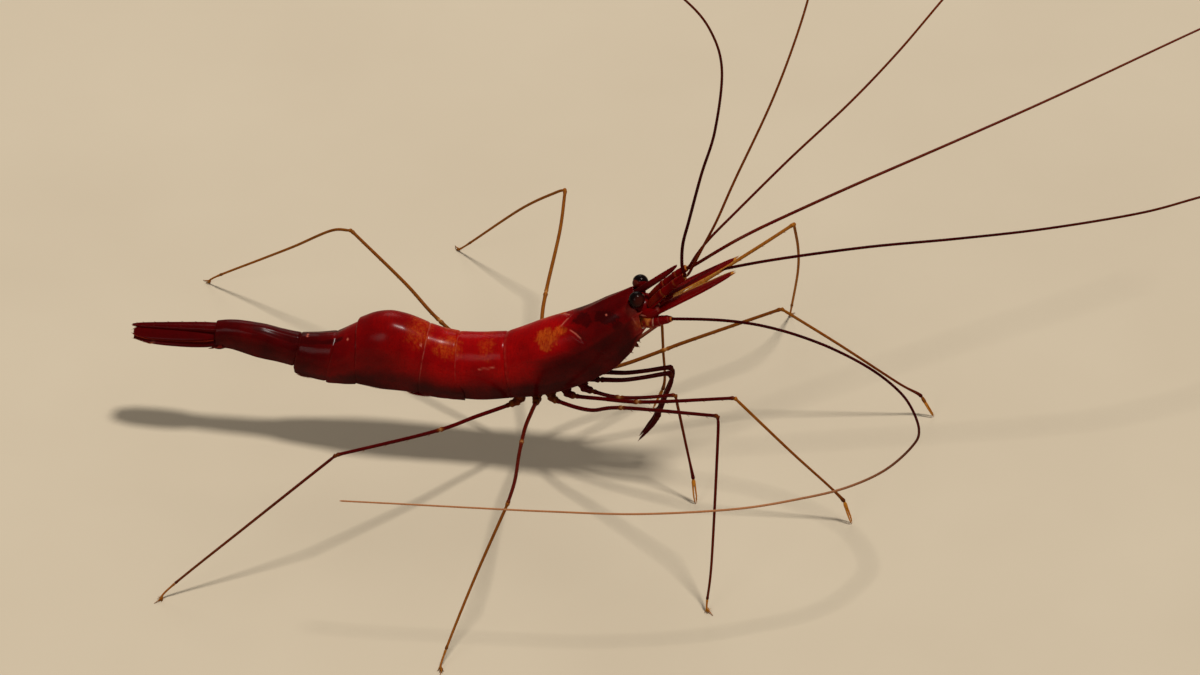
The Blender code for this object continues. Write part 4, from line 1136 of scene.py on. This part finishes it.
def build_telson():
    """The tail spine with its small spines, and the joint that carries the tail fan."""
    form = Form()
    rings, edges = blade_rings(TELSON_SECTIONS, 1, 0, FAN_STEPS, [(0.0, 0.22, -0.10), (0.5, 0.2, 0.10),
                                                                 (-0.5, 0.2, 0.10)])
    form.add_rings(rings, edge_marks(rings, 0.0, 0.1, tip=0.15))
    for number in range(TELSON_SPINES):
        for side in (-1, 1):
            x, y, z, half, thick = curve_at(TELSON_SECTIONS, 0.34 + 0.09 * number)
            root = (x, side * 0.72 * half, z + 0.75 * thick)
            form.add_spike(root, (-1.0, 0.25 * side, 0.16), 0.45, 0.08, (0.2, 0.0, 0.05))
    for number in range(-3, 4):
        form.add_spike((-73.2, 0.055 * number, 23.07), (-1.0, 0.16 * number, -0.03),
                       0.75 - 0.08 * abs(number), 0.07, (0.5, 0.0, 0.2))
    form.add_limb([(-52.8, 0.0, 23.2), (-55.0, 0.0, 23.0), (-57.0, 0.0, 22.9)], 0.15, 28,
                  lambda share: 1.95 * math.cos(0.9 * smooth(0.45, 1.0, share)),
                  lambda share: (0.0, 0.4, 0.0))
    form.finish("telson_plate", LOOKS["tail"], "tail_shell", "telson")


def build_uropods():
    """The four blades of the closed tail fan and their fringes."""
    fringe = Form()
    blades = [(*side, *blade) for side in SIDES for blade in UROPODS]
    for number, (word, side, name, sections, ribs) in enumerate(blades):
        form = Form()
        cell = (number, len(blades))
        rings, edges = blade_rings(sections, side, UROPOD_TILT, FAN_STEPS, ribs)
        marks = edge_marks(rings, 0.0, 0.05, tip=0.15)
        if name == "outer":
            marks = [(amber + 0.1 * hump(i, 72, 1.5), dark, pale + 0.12 * hump(i, 72, 1.2))
                     for i, (amber, dark, pale) in enumerate(marks)]
            form.add_limb(mirrored([(-54.4, 1.2, 21.3), (-55.8, 1.35, 21.0), (-57.6, 1.4, 21.2)], side), 0.15,
                          16, lambda share: 0.70 + 0.25 * math.sin(math.pi * share),
                          lambda share: (0.05, 0.3, 0.0))
            form.add_spike((-56.9, side * 2.1, 20.7), (-1.0, 0.1 * side, -0.25), 1.2, 0.22, (0.2, 0.1, 0.1))
            x, y, z, half, thick = curve_at(sections, 0.80)
            form.add_spike((x, side * (y + 0.97 * half), z - 0.28 * half), (-1.0, 0.12 * side, 0.0),
                           0.9, 0.12, (0.5, 0.0, 0.2))
        form.add_rings(rings, marks)
        form.finish("uropod_%s_blade_%s" % (name, word), LOOKS["tail"], "tail_shell",
                    "uropod_%s_%s" % (name, word))
        add_fringe(fringe, edges, cell, 0.75, 0.16, 0.5, 0.15, outer=name == "inner", tint=0.0)
        if name == "outer":
            add_fringe(fringe, edges, cell, 0.6, 0.16, 0.8, 0.82, inner=False, tint=0.1)
    fringe.finish("tail_fringe", LOOKS["bristle"], "tail_shell")


def build_pleopods():
    """Five pairs of swimming legs folded back, each a stout stem with two fringed leaves."""
    fringe = Form()
    cell, cells_in_all = 0, 2 * len(SIDES) * len(PLEOPOD_ROOTS)
    for number, (root_x, edge_z, offset, half, length) in PLEOPOD_ROOTS.items():
        for word, side in SIDES:
            form = Form()
            stem = [(root_x + 0.1, offset, edge_z + 1.0), (root_x - 0.9 * length, offset, edge_z + 0.3),
                    (root_x - 2.2 * length, offset, edge_z - 0.10)]
            form.add_limb(mirrored(stem, side), 0.2, 14,
                          lambda share: 0.50 + 0.12 * math.sin(math.pi * share),
                          lambda share: (0.08, 0.25, 0.0), broad=1.1, across=(0.0, 1.0, 0.0))
            for shift, lift, size in ((0.30, 0.0, 1.0), (-0.45, 0.22, 0.88)):
                leaf = [(root_x + length * dx * size + 0.3, offset + shift, edge_z + length * dz + lift,
                         share * half * size, thick) for dx, dz, share, thick in PLEOPOD_LEAF]
                rings, edges = blade_rings(leaf, side, 6, 34, [(0.0, 0.15, 0.05)])
                form.add_rings(rings, edge_marks(rings, 0.12, 0.05, tip=0.4))
                add_fringe(fringe, edges, (cell, cells_in_all), 0.62, 0.34, 0.7, 0.3)
                cell += 1
            form.finish("swimmeret_%d_%s" % (number, word), LOOKS["belly"], "belly_shell",
                        "pleopod_%d_%s" % (number, word))
    fringe.finish("swimmeret_fringe", LOOKS["bristle"], "belly_shell")


# ======================================================================== feelers

def joint_shape(distance, joints, size=1.0):
    """The factor by which a limb swells before a joint and narrows at it."""
    factor = 1.0
    for joint in joints:
        gap = (distance - joint) / size
        factor += 0.30 * hump(gap, -0.50, 0.42) - 0.30 * hump(gap, 0.0, 0.16) + 0.16 * hump(gap, 0.45, 0.3)
    return factor


def joint_tint(distance, joints, size):
    """1 at a joint, 0 away from it."""
    return max(hump(distance, joint, 0.55 * size) for joint in joints)


def measured_route(points, pitch):
    """A route, the distance along it at each row, and its length."""
    rows, length = even_route(points, pitch)
    return rows, [length * share for share in shares(rows)], length


def build_antennules():
    """The three-jointed stems of the first feelers, with their side lobes and bristles."""
    for word, side in SIDES:
        form = Form()
        rows, steps, length = measured_route(mirrored(ANTENNULE, side), LIMB_PITCH["stem"])
        radii = [row[3] * (0.72 + 0.3 * joint_shape(s, ANTENNULE_JOINTS)) for row, s in zip(rows, steps)]
        radii[-3:] = [factor * radii[-4] for factor in (0.9, 0.7, 0.4)]
        marks = [(0.16 * smooth(3.9, 3.0, s) + 0.26 * joint_tint(s, ANTENNULE_JOINTS, 0.6)
                  + 0.55 * smooth(length - 0.4, length, s),
                  0.35 * joint_tint(s + 0.9, ANTENNULE_JOINTS, 1.4), 0.0) for s in steps]
        form.add_rod(rows, radii, STEM_SIDES, marks, broad=1.12)
        lobe = [(30.4, 2.3, 40.0, 0.42, 0.22), (31.6, 2.55, 41.6, 0.50, 0.16), (33.2, 2.5, 43.6, 0.06, 0.05)]
        rings, edges = blade_rings(lobe, side, 0, 24, [])
        form.add_rings(rings, edge_marks(rings, 0.1, 0.0))
        for number in range(BRISTLES["stem"]):
            row = rows[int((0.15 + 0.84 * DICE.random()) * (len(rows) - 1))]
            way = Vector((0.4, DICE.choice((-0.4, 1.0)) * side, DICE.uniform(-0.5, 1.0))).normalized()
            form.add_spike(Vector(row[:3]) + way * 0.6, way + Vector((0.9, 0.0, 0.9)),
                           DICE.uniform(0.6, 1.0), 0.04, (0.85, 0.0, 0.1))
        form.finish("feeler_stem_" + word, LOOKS["blade"], "blade_shell", "antennule_" + word)


def build_whip(name, piece, stands_for, rows, radii, start_share=0.0, end_share=1.0):
    """A long feeler of many small rings, or a length of one from a share of the way to another."""
    root_marks, tip_marks, stretch = WHIP_TINTS[name]
    thickness, marks = [], []
    for k, part in enumerate(shares(rows)):
        share = start_share + (end_share - start_share) * part
        ring = k % 3 == 0
        thickness.append((radii[0] + (radii[1] - radii[0]) * share) * (1.035 if ring else 0.985))
        change = smooth(*stretch, share)
        amber, dark, pale = [a + (b - a) * change for a, b in zip(root_marks, tip_marks)]
        amber = max(amber + 0.06 * dents(rows[k][:3], 3.0), 0.0)
        marks.append((amber, dark + (0.12 if ring else 0.0), pale))
    if end_share == 1.0:
        blunt(thickness, 0.7, 0.3)
    form = Form()
    form.add_rod(rows, thickness, 7, marks)
    form.finish(piece, LOOKS["feeler"], "feeler", stands_for)


def build_antennule_whips():
    """The four whips of the first feelers."""
    for name, points in ANTENNULE_FLAGELLA.items():
        side = 1.0 if name.endswith("left") else -1.0
        root = (ANTENNULE[-1][0] - 0.2, side * ANTENNULE[-1][1], ANTENNULE[-1][2] - 0.2)
        build_whip(name, "whip_" + name, "antennule_flagellum_" + name,
                   even_route([root, *points], WHIP_PITCH)[0],
                   (0.34 if name.startswith("outer") else 0.27, 0.21))


def build_antenna_base(word, side):
    """The jointed base of a second feeler: three segments, and two blotched swellings behind them."""
    form = Form()
    rows, steps, length = measured_route(mirrored(ANTENNA_BASE, side), LIMB_PITCH["stem"])
    radii = [row[3] * (0.75 + 0.25 * joint_shape(s, ANTENNA_JOINTS, 0.8)) for row, s in zip(rows, steps)]
    marks = [(0.18 * joint_tint(s, ANTENNA_JOINTS, 0.25) + 0.8 * smooth(length - 0.6, length, s),
              0.25, 0.12 * joint_tint(s, ANTENNA_JOINTS, 0.15)) for s in steps]
    form.add_rod(rows, radii, STEM_SIDES, marks, broad=0.95)
    form.add_spike((31.6, side * 4.1, 37.3), (1.0, 0.3 * side, 0.2), 1.3, 0.28, (0.3, 0.0, 0.1))
    for line, thick, clear in ANTENNA_SWELLINGS:
        rows = even_route(mirrored(line, side), 0.12)[0]
        radii = [thick * (0.72 + 0.3 * math.sin(math.pi * (0.15 + 0.75 * share))) for share in shares(rows)]
        marks = []
        for k, share in enumerate(shares(rows)):
            blotches = [1.0 + 1.3 * dents((0.12 * k, 0.34 * around, side), 0.7)
                        for around in range(STEM_SIDES)]
            marks.append([(clear * blotch * smooth(0.92, 0.72, share), 0.25,
                           1.3 * clear * hump(share, 0.93, 0.05)) for blotch in blotches])
        form.add_rod(rows, blunt(radii, 0.8), STEM_SIDES, marks)
    form.finish("antenna_base_" + word, LOOKS["face"], "blade_shell")


def build_antennae():
    """The second feelers: jointed bases and very long whips in a few lengths."""
    for word, side in SIDES:
        lengths = ANTENNA_ROUTES[word]
        whole = even_route(sum(lengths, []), WHIP_PITCH)[0]
        cuts = [0]
        for points in lengths:
            cuts.append(min(range(len(whole)), key=lambda k: (Vector(whole[k]) - Vector(points[-1])).length))
        for number, (start, end) in enumerate(zip(cuts, cuts[1:]), 1):
            build_whip("antenna_" + word, "antenna_%s_whip_%d" % (word, number),
                       "antenna_%s_%d" % (word, number), whole[start:end + 1],
                       (0.31, 0.16 if word == "right" else 0.22), start / cuts[-1], end / cuts[-1])
            if start == 0:
                build_antenna_base(word, side)


def scale_mark(point, middle, share):
    """The marks of a scale: dark red outside, a clear yellow membrane inside and at the tip."""
    inward = (abs(middle.y) - abs(point.y)) / curve_at(SCALE_SECTIONS, share)[3]
    amber = max(0.8 * smooth(0.74, 0.93, inward) * smooth(0.22, 0.45, share), 0.9 * smooth(0.90, 0.97, share))
    return (amber, 0.35 * smooth(0.4, 0.0, share), 0.0)


def build_scales():
    """The leaf-shaped scales beside the feelers, each with a stiff outer edge and a yellow fringe."""
    fringe = Form()
    for number, (word, side) in enumerate(SIDES):
        form = Form()
        cell = (number, len(SIDES))
        rings, edges = blade_rings(SCALE_SECTIONS, side, 0, 110, [(0.86, 0.16, 0.16), (0.1, 0.1, 0.06),
                                                                 (-0.3, 0.1, 0.04)])
        form.add_rings(rings, [[scale_mark(point, middle, share) for point in ring]
                               for ring, (lip, edge, middle), share in zip(rings, edges, shares(rings))])
        x, y, z, half, thick = curve_at(SCALE_SECTIONS, 0.9)
        form.add_spike((x, side * (y + 0.8 * half), z), (0.8, 0.05 * side, 0.62), 1.5, 0.2, (0.4, 0.0, 0.1))
        form.finish("scale_" + word, LOOKS["blade"], "blade_shell", "antennal_scale_" + word)
        add_fringe(fringe, edges, cell, 0.75, 0.09, 0.6, 0.30, outer=False, tint=0.5)
        add_fringe(fringe, edges, cell, 0.8, 0.09, 1.2, 0.95, inner=False, tint=0.5)
    fringe.finish("scale_fringe", LOOKS["bristle"], "blade_shell")


# ======================================================================== legs

def build_maxillipeds():
    """The leg-like outer mouthparts, brushed with bristles on their last two joints."""
    brush = Form()
    for cell, (word, side) in enumerate(SIDES):
        form = Form()
        rows, steps, length = measured_route(mirrored(MAXILLIPED, side), LIMB_PITCH["maxilliped"])
        radii = [row[3] * joint_shape(s, MAXILLIPED_JOINTS, 0.9) for row, s in zip(rows, steps)]
        marks = [(0.12 * joint_tint(s, MAXILLIPED_JOINTS, 0.4), 0.45, 0.0) for s in steps]
        form.add_rod(rows, radii, LIMB_SIDES, marks, broad=0.9)
        form.add_spike(rows[-2][:3], Vector(rows[-1][:3]) - Vector(rows[-6][:3]), 0.8, 0.11, (0.2, 0.2, 0.0))
        form.finish("maxilliped_limb_" + word, LOOKS["limb"], "limb_shell", "maxilliped_" + word)
        for number in range(BRISTLES["maxilliped"]):
            share = 0.54 + 0.45 * DICE.random()
            k = int(share * (len(rows) - 1))
            centre, across, up, ahead = frame_at(rows, k)
            angle = DICE.uniform(0.0, TAU)
            out = across * math.cos(angle) + up * math.sin(angle)
            patch = ((cell + 0.1 + 0.8 * angle / TAU) / len(SIDES), share)
            brush.add_spike(centre + out * 0.8 * radii[k], out * 0.25 + ahead, DICE.uniform(0.28, 0.50),
                            0.030, (0.05 * DICE.random(), 0.75, 0.0), patch=patch)
    brush.finish("maxilliped_bristles", LOOKS["bristle"], "limb_shell")


def add_spines(form, rows, radii, first, last, spacing, length, mark):
    """A row of small movable spines along the underside of a limb."""
    pitch = (Vector(rows[1][:3]) - Vector(rows[0][:3])).length
    for k in range(int(first / pitch), int(last / pitch), max(1, int(spacing / pitch))):
        centre, across, up, ahead = frame_at(rows, k)
        down = up if up.z < 0.0 else -up
        form.add_spike(centre + down * 0.8 * radii[k], down * 0.6 + ahead * 0.8, length, 0.075, mark)


def build_leg(name):
    """A walking leg: hip and thigh, then shin and foot, with yellow joints."""
    thigh, shin, foot, (thigh_tint, shin_tint, ankle_tint, foot_tint) = LEGS[name]
    number, word = name.split("_")
    pincers = number in ("1", "2")
    thigh = mirrored(HIPS[number], dict(SIDES)[word]) + thigh
    rows, steps, length = measured_route(thigh, LIMB_PITCH["thigh"])
    ischium = 0.47 * length
    joints = (2.1, 4.4, ischium)
    radii, marks = [], []
    for s in steps:
        base = THIGH_RADII[0] + (THIGH_RADII[1] - THIGH_RADII[0]) * s / length + 0.52 * smooth(5.4, 1.4, s)
        radii.append(base * joint_shape(s, joints) * (1.0 + 0.28 * hump(s, length - 0.45, 0.5)))
        hip = smooth(6.0, 3.0, s)
        tint = thigh_tint * smooth(1.0, 7.0, s) + 0.30 * hump(s, ischium, 0.6) + 0.14 * hump(s, 4.4, 0.35)
        tint += 0.12 * hump(s, length, 0.5) + (0.0 if pincers else 0.08 * hip)
        marks.append((min(tint, 1.0), 0.3 * hip if pincers else 0.0, 0.30 * hump(s, ischium, 0.22)))
    form = Form()
    form.add_rod(rows, blunt(radii, 0.9, 0.55), LIMB_SIDES, marks)
    spacing, reach, mark = (4.0, 0.7, (0.4, 0.0, 0.2)) if pincers else (5.5, 1.0, (0.5, 0.0, 0.2))
    add_spines(form, rows, radii, ischium + 2.0, length - 2.0, spacing, reach, mark)
    if number != "1":
        form.finish("leg_%s_thigh_%s" % (number, word), LOOKS["limb"], "limb_shell",
                    "leg_%s_upper_%s" % (number, word))
        form = Form()

    tip = Vector((*foot, FOOT_HEIGHT))
    rows, steps, length = measured_route([thigh[-1], *shin, tuple(tip)], LIMB_PITCH["shin"])
    outward = Vector((tip.x - thigh[0][0], tip.y - thigh[0][1], 0.0)).normalized()
    foot_length, heading = BENT_FEET.get(name, (PROPODUS_LENGTH, outward))
    ankle = length - (CHELA_LENGTH if pincers else foot_length)
    cut = max(k for k, s in enumerate(steps) if s <= ankle)
    radii, marks = [], []
    for s in steps[:cut + 1]:
        swell = 1.0 + 0.45 * hump(s, 0.15, 0.35) - 0.15 * hump(s, 0.8, 0.25)
        swell += 0.35 * hump(s, ankle - 0.35, 0.45)
        swell += 0.45 * smooth(ankle - 4.5, ankle, s) if pincers else 0.0
        radii.append((SHIN_RADII[0] + (SHIN_RADII[1] - SHIN_RADII[0]) * s / ankle) * swell)
        tint = shin_tint + (ankle_tint - shin_tint) * s / ankle + 0.12 * hump(s, 0.0, 0.4)
        marks.append((tint, 0.5 * smooth(ankle - 1.6, ankle - 0.5, s), 0.0))
    form.add_rod(rows[:cut + 1], blunt(radii, 0.97, 0.80, 0.42), LIMB_SIDES, marks)
    if pincers:
        add_pincer(form, Vector(rows[cut - 1][:3]), tip, foot_tint)
    else:
        add_foot(form, rows[cut - 1:], foot_tint, Vector(heading))
    if number == "1":
        form.finish("leg_1_limb_" + word, LOOKS["limb"], "limb_shell", "leg_1_" + word)
    else:
        form.finish("leg_%s_shin_%s" % (number, word), LOOKS["limb"], "shin_shell",
                    "leg_%s_lower_%s" % (number, word))


def lower_bristle(form, root, way, wanted, share, radius, mark):
    """A bristle cut short where it would go further than a share of the way to the floor."""
    reach = min(wanted, share * root.z / max(-way.normalized().z, 0.05))
    form.add_spike(root, way, reach, radius, mark)


def add_pincer(form, start, foot, tint):
    """A slender claw: a palm and two fingers whose tips rest on the floor."""
    ahead = (foot - start).normalized()
    across = ahead.cross(Vector((0.0, 0.0, 1.0))).normalized()
    palm_end = start + (foot - start) * 0.30
    form.add_limb([start, palm_end], LIMB_PITCH["foot"], LIMB_SIDES,
                  lambda share: 0.20 + 0.14 * smooth(0.0, 0.5, share),
                  lambda share: (tint + 0.1 * smooth(0.0, 1.0, share), 0.0, 0.2 * hump(share, 0.0, 0.1)),
                  broad=1.25, across=across, ends=(0.92, 0.60))
    for turn in (-1, 1):
        root = palm_end + across * (0.22 * turn) - ahead * 0.2
        middle = start.lerp(foot, 0.70) + across * (0.27 * turn)
        tip = foot + across * (0.10 * turn) - ahead * (0.0 if turn > 0 else 0.12)
        form.add_limb([root, middle, tip], LIMB_PITCH["foot"], 8,
                      lambda share: 0.20 * (1.0 - 0.42 * share) * (1.0 - 0.72 * smooth(0.80, 1.0, share)),
                      lambda share: (min(max(tint, 0.8) + 0.1, 1.0), 0.5 * smooth(0.88, 1.0, share), 0.0))
    for number in range(BRISTLES["pincer"]):
        root = start.lerp(foot, DICE.uniform(0.4, 0.95)) + across * DICE.uniform(-0.4, 0.4)
        way = ahead + across * DICE.uniform(-0.7, 0.7) + Vector((0.0, 0.0, DICE.uniform(0.0, 0.5)))
        lower_bristle(form, root, way, DICE.uniform(0.4, 0.8), 0.8, 0.035, (0.85, 0.0, 0.1))


def add_foot(form, rows, tint, heading):
    """The end of a walking leg: a slim shaft, a curved claw and a brush of bristles."""
    rows = even_route([row[:3] for row in rows], LIMB_PITCH["foot"])[0]
    last = len(rows) - 1
    radii = [0.20 + 0.05 * hump(share, 0.1, 0.1) + 0.08 * hump(share, 0.88, 0.1) for share in shares(rows)]
    radii[-2:] = [0.17, 0.08]
    form.add_rod(rows, radii, 10, [(tint, 0.25 * hump(share, 0.92, 0.08), 0.25 * hump(share, 0.0, 0.06))
                                   for share in shares(rows)])
    end = Vector(rows[-1][:3])
    claw = [Vector(rows[max(0, last - 7)][:3]), end + heading * 0.35 + Vector((0.0, 0.0, 0.40)),
            end + heading * 0.95 + Vector((0.0, 0.0, 0.16)), end + heading * 1.5]
    form.add_limb(claw, 0.1, 8, lambda share: 0.17 * (1.0 - 0.75 * share),
                  lambda share: (tint, 0.45 * smooth(0.4, 1.0, share), 0.0))
    for number, (c, s) in enumerate(turn_round(BRISTLES["foot"])):
        out = Vector((c, s, 0.0))
        root = Vector(rows[max(0, last - 2 - number % 7)][:3]) + out * 0.16
        way = out * DICE.uniform(0.30, 0.75) + heading * 0.75 - Vector((0.0, 0.0, DICE.uniform(0.4, 0.9)))
        wanted = DICE.uniform(0.8, 1.25)
        lower_bristle(form, root, way, wanted, 0.9, 0.045, (min(tint + 0.15 * DICE.random(), 1.0), 0.0, 0.0))


# ======================================================================== studio

def build_studio():
    """A plain pale floor, soft light from above and the camera."""
    mesh = bpy.data.meshes.new("floor")
    corners = [(-1, -1), (1, -1), (1, 1), (-1, 1)]
    mesh.from_pydata([(x * FLOOR_REACH, y * FLOOR_REACH, 0.0) for x, y in corners], [], [(0, 1, 2, 3)])
    material, tree, coordinates = start_material("pale_floor")
    cloud = speckle(tree, coordinates, 60.0, 3.0)
    mesh.materials.append(end_material(material, Base_Color=blend(tree, cloud, *FLOOR_COLOURS),
                                       Roughness=0.85))
    floor = add_object("floor", mesh)

    for name, kind, spot, size, power in LAMPS:
        light = bpy.data.lights.new(name, kind)
        light.energy = power
        light.color = LAMP_COLOUR
        if kind == "SUN":
            light.angle = math.radians(size)
        else:
            light.shape = "DISK"
            light.size = size
        lamp = add_object(name, light)
        lamp.location = spot
        lamp.rotation_euler = (LAMP_TARGET - Vector(spot)).to_track_quat("-Z", "Y").to_euler()
    world = bpy.data.worlds.new("studio")
    world.use_nodes = True
    sky = world.node_tree.nodes["Background"].inputs
    sky["Color"].default_value = SKY_COLOUR
    sky["Strength"].default_value = SKY_STRENGTH
    bpy.context.scene.world = world
    bpy.context.scene.view_settings.view_transform = "Standard"

    camera = bpy.data.cameras.new("camera")
    camera.sensor_width = 36.0
    camera.lens = 150.0
    camera.clip_start = 0.01
    stand = add_object("camera", camera)
    stand.location = CAMERA_PLACE
    stand.rotation_euler = [math.radians(angle) for angle in CAMERA_ANGLES]
    bpy.context.scene.camera = stand


LOOKS = {look: animal_material(*values, **options) for look, (*values, options) in FINISHES.items()}
LOOKS["eye"] = eye_material()
build_studio()
build_carapace()
build_rostrum()
build_face()
build_mouthparts()
build_sternum()
for somite in ABDOMEN_SECTIONS:
    build_plate(somite)
build_belly()
build_telson()
build_uropods()
build_pleopods()
build_eyes()
build_antennules()
build_antennule_whips()
build_antennae()
build_scales()
build_maxillipeds()
for leg_name in LEGS:
    build_leg(leg_name)
